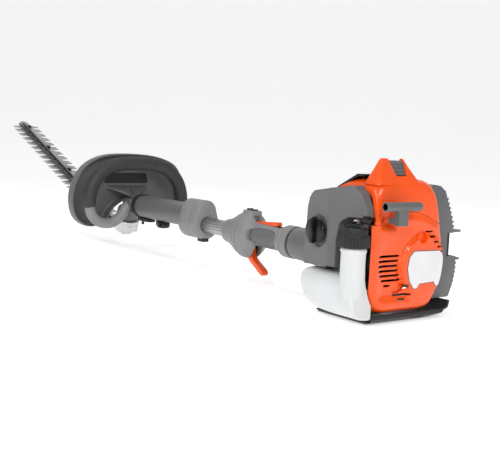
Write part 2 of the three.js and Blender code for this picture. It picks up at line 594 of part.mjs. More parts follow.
const makeLoopClamp = () => cut(
  block(CLAMP_X, [-26, 26], [100.4, 114]), tubeAlong(LOOP_ROUTE, LOOP_TUBE_R + GAP, 10, LOOP_STEPS));

const guardOutline = (inset) => smoothLoop([
  [-138 + inset, 110], [-134 + inset, 150], [-112 + inset, 186 - inset], [-64, 204 - inset],
  [0, 209 - inset], [64, 204 - inset], [108 - inset, 182 - inset], [132 - inset, 144],
  [138 - inset, 104], [128 - inset, 70 + inset], [104 - inset, 52 + inset],
  [76, 52 + inset], [54, 66 + inset], [38, 90 + inset], [0, 110 + inset], [-38, 94 + inset],
  [-64, 68 + inset], [-100, 56 + inset], [-126 + inset, 74],
], 48);
const makeHandGuard = () => {
  const dish = cut(prismX(guardOutline(0), GUARD_X),
    prismX(guardOutline(3.4), [GUARD_X[0] - 5, GUARD_X[1] - 3.4]));
  const stay = block([CLAMP_X[0], GUARD_X[1] - 1], [-16, 16], [114.4, 118]);
  return join(dish, stay);
};

// ---- Cutting head -----------------------------------------------------------------------------
const CASE_TOP = 34;
const headDisc = (radius, [w0, w1], u = 0, v = 0, sides = SIDES) =>
  inHead(roundZ(radius, [w0, w1], u, v, sides));
const makeGearNeck = () => {
  const outer = join(roundX(13, [723.5, 790]), headDisc(24, [CASE_TOP + GAP, 60]));
  return cut(outer, headDisc(20.5, [CASE_TOP - 2, 56]), roundX(10.2, [764, 788]),
    roundX(7 + GAP, [700, 742], 0, SHAFT_Z, 16), roundX(SHAFT_R + 0.5, [700, 780], 0, SHAFT_Z, 12));
};
const makeGearCase = () => {
  const ears = inHead(block([20, 46], [-17, 17], [2, 12]));
  const bowl = inHead(new THREE.LatheGeometry([
    new THREE.Vector2(0, 2), new THREE.Vector2(20, 2), new THREE.Vector2(28, 12),
    new THREE.Vector2(28, CASE_TOP), new THREE.Vector2(0, CASE_TOP),
  ], SIDES).rotateX(Math.PI / 2));
  return cut(join(bowl, ears),
    headDisc(16, [5, 13]), headDisc(23, [12, 31]), headDisc(7, [28, 60]), headDisc(12, [-2, 10]));
};
// Bevel pair: both pitch cones meet where the shaft axis crosses the gear axis.
const PINION_R = 7;
const GEAR_R = 17;
const APEX_W = (SHAFT_Z - HEAD.z) / Math.cos(BLADE_RISE);
const APEX_X = HEAD.x - APEX_W * Math.sin(BLADE_RISE);
const CROSSING = Math.PI / 2 + BLADE_RISE; // angle between the two axes
const PINION_CONE = Math.atan2(Math.sin(CROSSING), GEAR_R / PINION_R + Math.cos(CROSSING));
const PINION_BACK_X = APEX_X - PINION_R / Math.tan(PINION_CONE);
const GEAR_TOP_W = APEX_W - GEAR_R / Math.tan(CROSSING - PINION_CONE);
const PINION_LENGTH = 7;
const makeBevelPinion = () => {
  const frontR = PINION_R - PINION_LENGTH * Math.tan(PINION_CONE);
  return turnedX([
    [PINION_BACK_X, 1.5], [PINION_BACK_X, PINION_R - GAP],
    [PINION_BACK_X + PINION_LENGTH, frontR - GAP], [PINION_BACK_X + PINION_LENGTH, 1.5],
  ], 0, SHAFT_Z, 12);
};
const ECCENTRIC = 5;
const makeCrankGear = () => join(
  headDisc(GEAR_R, [GEAR_TOP_W - 6, GEAR_TOP_W - GAP], 0, 0, 20),
  headDisc(6, [-6, GEAR_TOP_W - 5], 0, 0, 16),
  headDisc(9, [10, 14], 0, ECCENTRIC, 16), headDisc(9, [16, 20], 0, -ECCENTRIC, 16));

const bladeOutline = (phase) => {
  const points = [[BLADE_START, 12], [70, 14]];
  const teeth = Math.floor((BLADE_END - 90) / TOOTH_PITCH);
  for (let i = 0; i < teeth; i += 1) {
    const u = 84 + phase + i * TOOTH_PITCH;
    points.push([u, 14], [u + 6, TOOTH_REACH], [u + 11, TOOTH_REACH], [u + 16, 14]);
  }
  points.push([BLADE_END - 16 + phase / 2, 12], [BLADE_END - 10 + phase / 2, 4]);
  const mirrored = points.slice().reverse().map(([u, v]) => [u, -v]);
  return polygon([...points, ...mirrored]);
};
const SLOT_HALF = 3.6;
const makeBlade = (phase, [w0, w1]) => {
  const slots = BOLT_STATIONS.map((u) => block(
    [u - BLADE_STROKE - 4, u + BLADE_STROKE + 4],
    [BOLT_V - SLOT_HALF, BOLT_V + SLOT_HALF], [w0 - 1, w1 + 1]));
  return inHead(cut(prismZ(bladeOutline(phase), [w0, w1]), ...slots));
};
const makeGuideBar = () => {
  const shape = polygon([
    [34, -11], [BLADE_END - 14, -10], [BLADE_END - 6, -6], [BLADE_END - 6, 6],
    [BLADE_END - 14, 10], [34, 11],
  ]);
  const bar = prismZ(shape, [-3.4, 1.6]);
  const rail = block([60, BLADE_END - 30], [3.4, 10], [1, 6]);
  const holes = BOLT_STATIONS.map((u) => roundZ(3.3, [-10, 10], u, BOLT_V, 12));
  const caseRelief = roundZ(28.5, [1.65, 40], 0, 0);
  return inHead(cut(join(bar, rail), caseRelief, ...holes));
};
const makeBarBolt = (u) => inHead(join(
  roundZ(3, [-9, 2.2], u, BOLT_V, 12), roundZ(5.5, [1.95, 5.5], u, BOLT_V, 12),
  roundZ(5, [-11.4, -8.8], u, BOLT_V, 12)));

// ---- Put the pieces together --------------------------------------------------------------------
add('starter_cover', makeStarterCover(), ORANGE);
add('cylinder_cover', makeCylinderCover(), ORANGE);
add('cover_insert', makeCoverInsert(), GREY);
add('top_plate', makeTopPlate(), DARK);
add('air_filter_cover', makeFilterCover(), GREY);
add('filter_knob', makeFilterKnob(), BLACK);
add('air_filter', makeAirFilter(), WHITE);
add('fuel_tank', makeFuelTank(), WHITE);
add('fuel_cap', makeFuelCap(), DARK);
add('choke_knob', makeChokeKnob(), BLACK);
add('base_guard', makeBaseGuard(), DARK);
add('muffler_guard', makeMufflerGuard(), GREY);
add('crankcase', makeCrankcase(), CAST);
add('rear_bearing', makeBearing(-18.5), STEEL);
add('front_bearing', makeBearing(48), STEEL);
add('cylinder', makeCylinder(), CAST);
add('piston', makePiston(), STEEL);
add('spark_plug', makeSparkPlug(), WHITE);
add('crankshaft', makeCrankshaft(), STEEL);
add('flywheel', makeFlywheel(), CAST);
add('starter_pulley', makePulley(), DARK);
add('recoil_spring', makeRecoilSpring(), STEEL);
add('pull_handle', makePullHandle(), GREY);
add('ignition_coil', makeIgnitionCoil(), BLACK);
add('carburettor', makeCarburettor(), CAST);
add('muffler', makeMuffler(), STEEL);
add('clutch_shoes', makeClutchShoes(), STEEL);
add('clutch_drum', makeClutchDrum(), STEEL);
add('drive_shaft', makeDriveShaft(), STEEL);
add('clutch_housing', makeClutchHousing(), GREY);
add('damper_ring', makeDamperRing(), BLACK);
add('rear_ring', makeRearRing(), MID_GREY);
add('drive_tube', makeDriveTube(), TUBE_GREY);
add('shaft_bush', makeBush(440), BLACK);
add('bell_cover', makeBellCover(), MID_GREY);
add('handle_left', makeHandleHalf(1), MID_GREY);
add('handle_right', makeHandleHalf(-1), MID_GREY);
add('throttle_trigger', makeTrigger(), ORANGE);
add('trigger_pin', makeTriggerPin(), STEEL);
add('lockout_lever', makeLockout(), ORANGE);
add('stop_switch', makeStopSwitch(), GREY);
add('twist_collar', makeCollar(), MID_GREY);
add('collar_latch', makeCollarLatch(), GREY);
add('front_sleeve', makeSleeve(), GREY);
add('liner_tube', makeLinerTube(), STEEL);
add('sleeve_band', makeSleeveBand(), DARK);
add('loop_clamp', makeLoopClamp(), DARK);
add('loop_tube', makeLoopTube(), MID_GREY);
add('loop_grip', makeLoopGrip(), DARK);
add('hand_guard', makeHandGuard(), GREY);
add('gear_neck', makeGearNeck(), GREY);
add('gear_case', makeGearCase(), CAST);
add('bevel_pinion', makeBevelPinion(), STEEL);
add('crank_gear', makeCrankGear(), STEEL);
add('upper_blade', makeBlade(TOOTH_PITCH / 2, [-6, -4]), STEEL);
add('lower_blade', makeBlade(0, [-8.4, -6.4]), STEEL);
add('guide_bar', makeGuideBar(), STEEL);
BOLT_STATIONS.forEach((u, i) => add(`bar_bolt_${i + 1}`, makeBarBolt(u), BLACK));
export default trimmer;
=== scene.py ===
"""Pole hedge trimmer: the visible surfaces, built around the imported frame. Lengths are in mm
unless a name ends in _M; they become metres when a mesh is made."""
import json
import math

import bmesh
import bpy
import numpy as np
from mathutils import Matrix, Vector


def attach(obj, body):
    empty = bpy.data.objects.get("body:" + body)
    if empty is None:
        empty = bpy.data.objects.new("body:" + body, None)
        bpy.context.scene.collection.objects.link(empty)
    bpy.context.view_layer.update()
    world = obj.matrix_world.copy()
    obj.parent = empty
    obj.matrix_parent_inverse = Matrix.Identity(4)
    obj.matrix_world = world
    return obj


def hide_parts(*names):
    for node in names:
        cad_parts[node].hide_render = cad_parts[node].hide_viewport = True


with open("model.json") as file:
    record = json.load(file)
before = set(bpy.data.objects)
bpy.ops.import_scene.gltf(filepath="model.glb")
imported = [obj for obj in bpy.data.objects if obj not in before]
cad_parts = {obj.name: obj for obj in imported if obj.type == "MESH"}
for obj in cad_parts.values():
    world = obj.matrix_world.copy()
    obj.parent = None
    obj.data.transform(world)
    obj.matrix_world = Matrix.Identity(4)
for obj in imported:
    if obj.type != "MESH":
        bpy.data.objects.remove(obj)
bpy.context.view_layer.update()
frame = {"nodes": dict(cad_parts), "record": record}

MM = 0.001
SHAFT_Z = 86
scene = bpy.context.scene


# ---- Procedural materials ----------------------------------------------------------------------
def new_material(name):
    material = bpy.data.materials.new(name)
    material.use_nodes = True
    tree = material.node_tree
    return material, tree, tree.nodes["Principled BSDF"]


def set_inputs(node, values):
    for name, value in values.items():
        node.inputs[name].default_value = value


def noise(tree, scale, detail=3.0, stretch=(1, 1, 1)):
    place = tree.nodes.new("ShaderNodeTexCoord")
    mapping = tree.nodes.new("ShaderNodeMapping")
    set_inputs(mapping, {"Scale": stretch})
    tree.links.new(place.outputs["Object"], mapping.inputs["Vector"])
    texture = tree.nodes.new("ShaderNodeTexNoise")
    set_inputs(texture, {"Scale": scale, "Detail": detail})
    tree.links.new(mapping.outputs["Vector"], texture.inputs["Vector"])
    return texture.outputs["Fac"]


def ramp(tree, value, low, high, start=0.3, end=0.7):
    """Spreads a noise between two colours, or two numbers written as greys."""
    element = tree.nodes.new("ShaderNodeValToRGB")
    element.color_ramp.elements[0].position = start
    element.color_ramp.elements[1].position = end
    element.color_ramp.elements[0].color = (*low, 1)
    element.color_ramp.elements[1].color = (*high, 1)
    tree.links.new(value, element.inputs["Fac"])
    return element.outputs["Color"]


def grey(value):
    return (value, value, value)


def tint(color, factor):
    return tuple(min(1.0, c * factor) for c in color)


def worn_edges(tree, color, base, amount):
    """Mixes a lighter, rubbed colour in where the surface turns sharply outwards."""
    geometry = tree.nodes.new("ShaderNodeNewGeometry")
    edge = ramp(tree, geometry.outputs["Pointiness"], grey(0.0), grey(amount), 0.53, 0.62)
    mix = tree.nodes.new("ShaderNodeMix")
    mix.data_type = "RGBA"
    tree.links.new(edge, mix.inputs["Factor"])
    tree.links.new(color, mix.inputs["A"])
    mix.inputs["B"].default_value = (*tint(base, 1.5), 1)
    return mix.outputs["Result"]


def bump(tree, shader, height, strength, distance):
    element = tree.nodes.new("ShaderNodeBump")
    set_inputs(element, {"Strength": strength, "Distance": distance})
    tree.links.new(height, element.inputs["Height"])
    tree.links.new(element.outputs["Normal"], shader.inputs["Normal"])


def plastic(name, color, roughness, grain=0.25, coat=0.0, wear=0.15, shine=0.4):
    """Moulded plastic: slight colour drift, spark-eroded grain and lightly rubbed edges."""
    material, tree, shader = new_material(name)
    drift = ramp(tree, noise(tree, 22), tint(color, 0.94), tint(color, 1.05))
    tree.links.new(worn_edges(tree, drift, color, wear), shader.inputs["Base Color"])
    spread = ramp(tree, noise(tree, 60), grey(roughness * 0.88), grey(min(1.0, roughness * 1.14)))
    tree.links.new(spread, shader.inputs["Roughness"])
    bump(tree, shader, noise(tree, 1900, 2), grain, 0.00012)
    set_inputs(shader, {"Coat Weight": coat, "Coat Roughness": 0.12, "Specular IOR Level": shine})
    return material


def metal(name, color, roughness, stretch=(1, 1, 1), grain=0.3, scale=420, anisotropy=0.0):
    """Drawn, ground or cast metal: a streaky or pitted surface, by its stretch."""
    material, tree, shader = new_material(name)
    streaks = noise(tree, scale, 5, stretch)
    tree.links.new(ramp(tree, streaks, tint(color, 0.84), tint(color, 1.1)),
                   shader.inputs["Base Color"])
    tree.links.new(ramp(tree, streaks, grey(roughness * 0.75), grey(roughness * 1.25)),
                   shader.inputs["Roughness"])
    bump(tree, shader, streaks, grain, 0.00008)
    set_inputs(shader, {"Metallic": 1.0, "Anisotropic": anisotropy})
    return material


def milky_plastic(name, color):
    """Blow-moulded tank wall that lets some light into it."""
    material, tree, shader = new_material(name)
    cloud = ramp(tree, noise(tree, 14), tint(color, 0.95), tint(color, 1.03))
    tree.links.new(cloud, shader.inputs["Base Color"])
    tree.links.new(ramp(tree, noise(tree, 90), grey(0.3), grey(0.42)),
                   shader.inputs["Roughness"])
    set_inputs(shader, {"Subsurface Weight": 0.35, "Subsurface Radius": (0.012, 0.012, 0.011)})
    bump(tree, shader, noise(tree, 700, 2), 0.12, 0.0001)
    return material


def rubber(name, color, roughness=0.72):
    return plastic(name, color, roughness, grain=0.5, wear=0.1)


MATERIALS = {
    "orange_plastic": plastic("orange_moulding", (0.84, 0.082, 0.002), 0.3, 0.06, 0.25),
    "grey_plastic": plastic("dark_grey_moulding", (0.118, 0.12, 0.123), 0.4),
    "mid_grey_plastic": plastic("light_grey_moulding", (0.21, 0.212, 0.215), 0.44),
    "dark_plastic": plastic("charcoal_moulding", (0.022, 0.0225, 0.0235), 0.42, shine=0.25),
    "black_plastic": plastic("black_moulding", (0.004, 0.004, 0.0045), 0.2, 0.08, 0.1, shine=0.3),
    "soft_grip": rubber("soft_grip_foam", (0.03, 0.031, 0.033), 0.55),
    "black_rubber": rubber("black_rubber", (0.01, 0.01, 0.01)),
    "tank_plastic": milky_plastic("tank_polythene", (0.62, 0.635, 0.64)),
    "filter_media": plastic("filter_felt", (0.7, 0.68, 0.6), 0.9, 0.9),
    "steel": metal("machined_steel", (0.55, 0.55, 0.56), 0.3),
    "blade_steel": metal("ground_blade_steel", (0.42, 0.42, 0.42), 0.36, (0.12, 6, 1), 0.35, 260,
                         0.4),
    "cast_aluminium": metal("cast_aluminium", (0.66, 0.67, 0.68), 0.36, grain=0.35, scale=260),
    # Near-black metal for the parts behind the starter slots: painted shade, so the slots read dark.
    "painted_shade_cast": metal("painted_shade_cast", (0.06, 0.058, 0.056), 0.6, grain=0.4, scale=300),
    "tube_aluminium": metal("drawn_tube", (0.42, 0.43, 0.44), 0.34, (0.08, 5, 5), 0.25, 200, 0.3),
    "badge": plastic("name_plate", (0.72, 0.73, 0.745), 0.3, 0.05, 0.3),
    "ceramic": plastic("glazed_ceramic", (0.85, 0.85, 0.83), 0.12, 0.02, 0.8),
    # Black steel: the bolts' own colour; on the spine rail it is painted shade.
    "blackened_steel": metal("blackened_steel", (0.05, 0.05, 0.05), 0.35),
}
SLOT_OF = {s["node"]: s["material_slot"] for s in frame["record"]["subparts"]}
BODY_OF = {node: body for body, nodes in frame["record"]["behaviour"]["bodies"].items()
           for node in nodes}
REPLACED = []


def paint(piece, slot_name):
    piece.data.materials.clear()
    piece.data.materials.append(MATERIALS[slot_name])


for node_name, node in frame["nodes"].items():
    paint(node, SLOT_OF[node_name])


# ---- Outlines -----------------------------------------------------------------------------------
def curve_between(p0, p1, p2, p3, count):
    """Catmull-Rom samples from p1 up to p2."""
    return [0.5 * (2 * p1 + (p2 - p0) * t + (2 * p0 - 5 * p1 + 4 * p2 - p3) * t * t
                   + (3 * p1 - p0 - 3 * p2 + p3) * t ** 3)
            for t in np.linspace(0, 1, count, endpoint=False)]


def running_length(path):
    steps = np.linalg.norm(np.diff(path, axis=0), axis=1)
    return np.concatenate([[0], np.cumsum(steps)])


def smooth_loop(points, count):
    """Closed Catmull-Rom curve through the points, as evenly spaced samples."""
    base = np.array(points, float)
    total = len(base)
    dense = []
    for i in range(total):
        p0, p1, p2, p3 = (base[(i + k - 1) % total] for k in range(4))
        dense += curve_between(p0, p1, p2, p3, 24)
    return resample(np.array(dense), count)


def resample(dense, count):
    ring = np.vstack([dense, dense[:1]])
    length = running_length(ring)
    at = np.linspace(0, length[-1], count, endpoint=False)
    return [tuple(np.interp(s, length, ring[:, k]) for k in range(2)) for s in at]


def fillet(points, radius, steps=5):
    """Rounds every corner of a polygon by `radius`, or by the list's own radii."""
    rounded = []
    total = len(points)
    for i, corner in enumerate(points):
        size = radius[i] if isinstance(radius, (list, tuple)) else radius
        here = Vector(corner)
        back = Vector(points[i - 1]) - here
        ahead = Vector(points[(i + 1) % total]) - here
        half_angle = back.angle(ahead) / 2
        reach = min(size / max(math.tan(half_angle), 1e-3), 0.48 * min(back.length, ahead.length))
        start = here + back.normalized() * reach
        end = here + ahead.normalized() * reach
        for k in range(steps + 1):
            t = k / steps
            rounded.append(tuple(start * (1 - t) ** 2 + here * 2 * t * (1 - t) + end * t * t))
    return rounded


def rounded_box(a0, b0, a1, b1, radius, steps=5):
    return fillet([(a0, b0), (a1, b0), (a1, b1), (a0, b1)], radius, steps)


def grow(outline, distance):
    """Moves each point of an anticlockwise or clockwise outline outwards."""
    ring = np.array(outline, float)
    after = np.roll(ring, -1, axis=0)
    before = np.roll(ring, 1, axis=0)
    area = np.sum(ring[:, 0] * after[:, 1] - after[:, 0] * ring[:, 1])
    tangent = after - before
    tangent /= np.linalg.norm(tangent, axis=1)[:, None] + 1e-12
    normal = np.stack([tangent[:, 1], -tangent[:, 0]], axis=1) * (1 if area > 0 else -1)
    return [tuple(p) for p in ring + normal * distance]


def circle(radius, a=0.0, b=0.0, sides=64, squash=1.0):
    return [(a + radius * math.cos(2 * math.pi * i / sides),
             b + squash * radius * math.sin(2 * math.pi * i / sides)) for i in range(sides)]


def turned_outline(outline, degrees, about):
    c, s = math.cos(math.radians(degrees)), math.sin(math.radians(degrees))
    return [(about[0] + c * (a - about[0]) - s * (b - about[1]),
             about[1] + s * (a - about[0]) + c * (b - about[1])) for a, b in outline]


# ---- Solids -------------------------------------------------------------------------------------
RIM_STEPS = 4
AXES = {"X": (1, 2, 0), "Y": (0, 2, 1), "Z": (0, 1, 2)}


def place(a, b, along, axis):
    point = [0.0, 0.0, 0.0]
    for value, index in zip((a, b, along), AXES[axis]):
        point[index] = value
    return point


def add_object(name, data):
    item = bpy.data.objects.new(name, data)
    scene.collection.objects.link(item)
    return item


def make_piece(points, faces):
    mesh = bpy.data.meshes.new("piece")
    mesh.from_pydata([[c * MM for c in p] for p in points], [], faces)
    shape = bmesh.new()
    shape.from_mesh(mesh)
    bmesh.ops.remove_doubles(shape, verts=shape.verts, dist=1e-7)
    bmesh.ops.recalc_face_normals(shape, faces=shape.faces)
    shape.to_mesh(mesh)
    shape.free()
    return add_object("piece", mesh)


def loft(rings, closed=False):
    """Solid through rings of equally many points. Ends are flat, unless the rings close up."""
    count = len(rings[0])
    total = len(rings)
    faces = []
    for r in range(total if closed else total - 1):
        for i in range(count):
            j = (i + 1) % count
            n = (r + 1) % total
            faces.append((r * count + i, r * count + j, n * count + j, n * count + i))
    if not closed:
        faces.append(tuple(range(count)))
        faces.append(tuple(range((total - 1) * count, total * count)))
    return make_piece([p for ring in rings for p in ring], faces)


def prism(outline, axis, low, high, rim=0.0):
    """Outline run along an axis, both rims rounded by `rim`."""
    stations = [(low, 0.0), (high, 0.0)]
    if rim:
        turn = [math.pi / 2 * k / RIM_STEPS for k in range(RIM_STEPS + 1)]
        curve = [(rim * (1 - math.cos(t)), -rim * (1 - math.sin(t))) for t in turn]
        stations = [(low + d, inset) for d, inset in curve]
        stations += [(high - d, inset) for d, inset in reversed(curve)]
    return loft([[place(a, b, at, axis) for a, b in grow(outline, inset)]
                 for at, inset in stations])


def box(low, high):
    outline = [(low[0], low[1]), (high[0], low[1]), (high[0], high[1]), (low[0], high[1])]
    return prism(outline, "Z", low[2], high[2])


def turned(profile, axis="X", at=(0, SHAFT_Z), sides=96, squash=(1, 1)):
    """Turns a closed profile of (along, radius) pairs about an axis through `at`."""
    rings = []
    for i in range(sides):
        c, s = math.cos(2 * math.pi * i / sides), math.sin(2 * math.pi * i / sides)
        rings.append([place(at[0] + squash[0] * r * c, at[1] + squash[1] * r * s, x, axis)
                      for x, r in profile])
    return loft(rings, closed=True)


def spindle(profile, at=(0, SHAFT_Z), squash=(1, 1)):
    """Solid round bar along X, without a bore, through (along, radius) pairs."""
    return loft([[(x, at[0] + squash[0] * a, at[1] + squash[1] * b) for a, b in circle(r, sides=96)]
                 for x, r in profile])


def rod(radius, axis, low, high, at, rim=0.0, sides=64):
    return prism(circle(radius, *at, sides=sides), axis, low, high, rim)


def tube(route, radius, sides=32):
    """Round bar along a route of 3-D points; radius is a number or one for each point."""
    path = [Vector(p) for p in route]
    size = radius if isinstance(radius, (list, tuple)) else [radius] * len(path)
    side = Vector((1, 0, 0))
    rings = []
    for i, point in enumerate(path):
        along = (path[min(i + 1, len(path) - 1)] - path[max(i - 1, 0)]).normalized()
        side = (side - along * side.dot(along)).normalized()
        other = along.cross(side)
        rings.append([point + side * (size[i] * math.cos(a)) + other * (size[i] * math.sin(a))
                      for a in np.linspace(0, 2 * math.pi, sides, endpoint=False)])
    return loft(rings)


def smooth_route(points, count):
    base = [np.array(p, float) for p in points]
    base = [2 * base[0] - base[1], *base, 2 * base[-1] - base[-2]]
    dense = []
    for i in range(len(base) - 3):
        p0, p1, p2, p3 = base[i:i + 4]
        dense += curve_between(p0, p1, p2, p3, 20)
    dense = np.array([*dense, base[-2]])
    length = running_length(dense)
    at = np.linspace(0, length[-1], count)
    return [tuple(np.interp(s, length, dense[:, k]) for k in range(3)) for s in at]


def gather(piece, *others):
    """One mesh out of several, left as they are."""
    shape = bmesh.new()
    for part in (piece, *others):
        shape.from_mesh(part.data)
    shape.to_mesh(piece.data)
    shape.free()
    for part in others:
        bpy.data.objects.remove(part)
    return piece


def bake(piece):
    bpy.context.view_layer.update()
    graph = bpy.context.evaluated_depsgraph_get()
    mesh = bpy.data.meshes.new_from_object(piece.evaluated_get(graph))
    piece.modifiers.clear()
    piece.data = mesh
    return piece


def boolean(piece, operation, tools):
    for tool in tools:
        modifier = piece.modifiers.new("boolean", "BOOLEAN")
        modifier.object = tool
        modifier.operation = operation
        modifier.solver = "EXACT"
    bake(piece)
    for tool in tools:
        bpy.data.objects.remove(tool)
    return piece


def cut(piece, *tools):
    return boolean(piece, "DIFFERENCE", tools)


def join(piece, *tools):
    return boolean(piece, "UNION", tools)


def common(piece, *tools):
    return boolean(piece, "INTERSECT", tools)


def from_cad(node_name):
    """A mesh of its own with the CAD node's shape, shared corners merged."""
    source = frame["nodes"][node_name].data
    points = [[c / MM for c in v.co] for v in source.vertices]
    return make_piece(points, [tuple(p.vertices) for p in source.polygons])


# ---- Surface finish -----------------------------------------------------------------------------
def moulded(piece, voxel=1.0, rounds=6, keep=0.5):
    """Softens every edge, as a mould does: fine even mesh, smoothed, then thinned out."""
    remesh = piece.modifiers.new("remesh", "REMESH")
    remesh.mode = "VOXEL"
    remesh.voxel_size = voxel * MM
    smooth = piece.modifiers.new("smooth", "SMOOTH")
    smooth.iterations = rounds
    thin = piece.modifiers.new("thin", "DECIMATE")
    thin.ratio = keep
    bake(piece)
    piece.data.shade_smooth()
    return piece


def crisp(piece, width=0.4, segments=2, sharp=32):
    """Small bevel on hard edges, smooth shading between them."""
    bevel = piece.modifiers.new("bevel", "BEVEL")
    bevel.width = width * MM
    bevel.segments = segments
    bevel.limit_method = "ANGLE"
    bevel.angle_limit = math.radians(sharp)
    bevel.use_clamp_overlap = True
    bake(piece)
    return shaded(piece, sharp)


def shaded(piece, sharp=32):
    piece.data.shade_smooth()
    piece.data.set_sharp_from_angle(angle=math.radians(sharp))
    return piece


def fit(piece, name, body, slot_name, *nodes):
    """Names a finished piece, paints it, and puts it on its body in place of CAD nodes."""
    piece.name = name
    piece.data.name = name
    paint(piece, slot_name)
    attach(piece, body)
    if nodes:
        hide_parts(*nodes)
        REPLACED.append(nodes)
    return piece


# ---- Orange covers ------------------------------------------------------------------------------
WALL = 2.6
REAR_X = -65
SPLIT_X = -30
COVER_MIDDLE = np.array([-3.0, 108.0])
COVER_OUTLINE = smooth_loop([
    (-48, 17), (0, 15.5), (42, 17), (60, 30), (72, 58), (76, 90), (73, 130), (68, 170), (61, 196),
    (44, 207), (0, 209), (-40, 206), (-59, 192), (-69, 168), (-77, 135), (-84, 95), (-80, 60),
    (-66, 28)], 220)
COVER_RINGS = 48
EDGE_ROUND = 15
FAN_MIDDLE = np.array([-37.0, 82.0])
FAN_R = 45
CREASE = [(28, 140), (14, 104), (8, 78), (2, 58), (-12, 34)]
NECK_AT = (-46, 86)
CHOKE_AT = (-57, 151.5)
DIAL_AT = (-29.5, 124.5)
OVAL_AT = (8.5, 51)
NOSE_TOP = (-14, 207.5)
NOSE_SLOPE = 0.47


def nose_z(x):
    return NOSE_TOP[1] - NOSE_SLOPE * (x - NOSE_TOP[0])


def step_up(value, low, high):
    t = np.clip((value - low) / (high - low), 0, 1)
    return t * t * (3 - 2 * t)


def rear_relief(y, z):
    """How far the starter cover's rear face stands back from REAR_X, in mm."""
    crease_y = np.interp(z, [p[1] for p in reversed(CREASE)], [p[0] for p in reversed(CREASE)])
    beyond = y - crease_y
    in_panel = step_up(beyond, -0.6, 1.2) * step_up(60 - y, 0, 22)
    height = step_up(z, 30, 44) * step_up(137 - z, 0, 32)
    panel = 4.6 * in_panel * height
    fan_gap = np.hypot(y - FAN_MIDDLE[0], z - FAN_MIDDLE[1]) - FAN_R
    fan = -2.6 * step_up(-fan_gap, -1.5, 1.5)
    groove = 2.4 * np.exp(-(fan_gap - 3.5) ** 2 / 6) * step_up(z, 40, 60)
    well = 8.5 * step_up(y, 24, 27) * step_up(54 - y, 0, 3) * step_up(z, 136, 146) \
        * step_up(176 - z, 0, 14)
    brow = -2.0 * np.exp(-((z - 150 + 0.005 * (y + 5) ** 2) / 5) ** 2) * step_up(26 - y, 0, 6) \
        * step_up(y, -66, -52)
    return panel + fan + groove + well + brow


def cover_solid(inset, front_x):
    """Cover seen from behind as rings from its middle to its rim, then forwards along its sides."""
    rim = np.array(grow(COVER_OUTLINE, -inset))
    rings = []
    for k in range(1, COVER_RINGS + 1):
        share = 1 - (1 - k / COVER_RINGS) ** 1.35
        ring = COVER_MIDDLE + (rim - COVER_MIDDLE) * share
        edge = (1 - share) * np.linalg.norm(rim - COVER_MIDDLE, axis=1)
        reach = np.clip(EDGE_ROUND - edge, 0, EDGE_ROUND)
        rounding = EDGE_ROUND - np.sqrt(EDGE_ROUND ** 2 - reach ** 2)
        crown = 3.0 * share ** 4
        fade = step_up(edge, 1, 9)
        depth = REAR_X + inset + rounding + crown + fade * rear_relief(ring[:, 0], ring[:, 1])
        rings.append([(x, y, z) for x, (y, z) in zip(depth, ring)])
    side_x = REAR_X + inset + EDGE_ROUND + 3.0
    for x in np.linspace(side_x + 4, front_x, 10):
        rings.append([(x, y, z) for y, z in rim])
    return loft(rings)


def seam_region(grown):
    """Everything below the seam, with the arch behind the pull handle."""
    arch = [(-120, 141.6), (-70, 141.6), (-60, 145.5), (-38, 155), (-18, 161), (2, 162.8),
            (26, 160.5), (38, 151), (47, 143.6), (120, 143.6)]
    line = [(y, z + grown) for y, z in arch]
    return prism([(-120, -20), *line, (120, -20)], "X", -200, 200)


def turret():
    """Four-sided tower on the cover, its corners rounded."""
    rings = []
    for z, rear, front, right, left, size in (
            (200, -62, -30, -26, 61, 6), (210, -57.4, -31.8, -19.6, 55.6, 6),
            (222, -51.8, -34.6, -11.6, 49, 6), (231, -47.8, -36.9, -6, 44.2, 5),
            (235.3, -46, -38, -3, 41.8, 5), (237, -44.4, -39.6, -0.6, 39.4, 3)):
        corners = [(rear, right), (front, right), (front, left), (rear, left)]
        rings.append([(x, y, z) for x, y in fillet(corners, size, 6)])
    return loft(rings)


INSERT_FACE = [(21.6, 212.6), (30.6, 240), (0.4, 240), (0.4, 212.6)]


def make_upper_cover():
    outer = join(cover_solid(0, 44), turret())
    nose = prism([(NOSE_TOP[0], 260), (90, 260), (90, nose_z(90)), NOSE_TOP], "Y", -100, 100)
    inner = cover_solid(WALL, 60)
    inner_nose = prism([(NOSE_TOP[0], 260), (90, 260), (90, nose_z(90) - WALL),
                        (NOSE_TOP[0], NOSE_TOP[1] - WALL)], "Y", -100, 100)
    cut(inner, inner_nose)
    filter_bay = box((-200, 62, 0), (200, 120, 203))
    insert_seat = prism(grow(fillet(INSERT_FACE, 1.2), 0.35), "X", -66, -30)
    choke_hole = rod(3.4, "Y", 40, 80, CHOKE_AT)
    cut(outer, nose, inner, seam_region(0.35), filter_bay, insert_seat, choke_hole)
    return fit(crisp(outer, 0.45, 2, 38), "upper_cover", "engine", "orange_plastic",
               "cylinder_cover")


SLOT_ROWS = [(99, 12.5, 53), (92, 12, 54), (85, 11.5, 54), (78, 10, 53), (71, 8, 50), (64, 5.5, 45.5),
             (56.5, 26, 39)]
LOW_SLOTS = [(42, -14, 21), (35.6, -3, 11)]
FAN_SLOTS = [(132.5, -52, -35), (125, -60, -43), (117.4, -65.5, -52), (110, -70.5, -60),
             (102.6, -74.5, -66), (95, -77, -70)]


def grille_slot(z, right, left, tall):
    outline = rounded_box(right, z - tall, left, z + tall, tall)
    return prism(outline, "X", REAR_X - 12, REAR_X + 12)


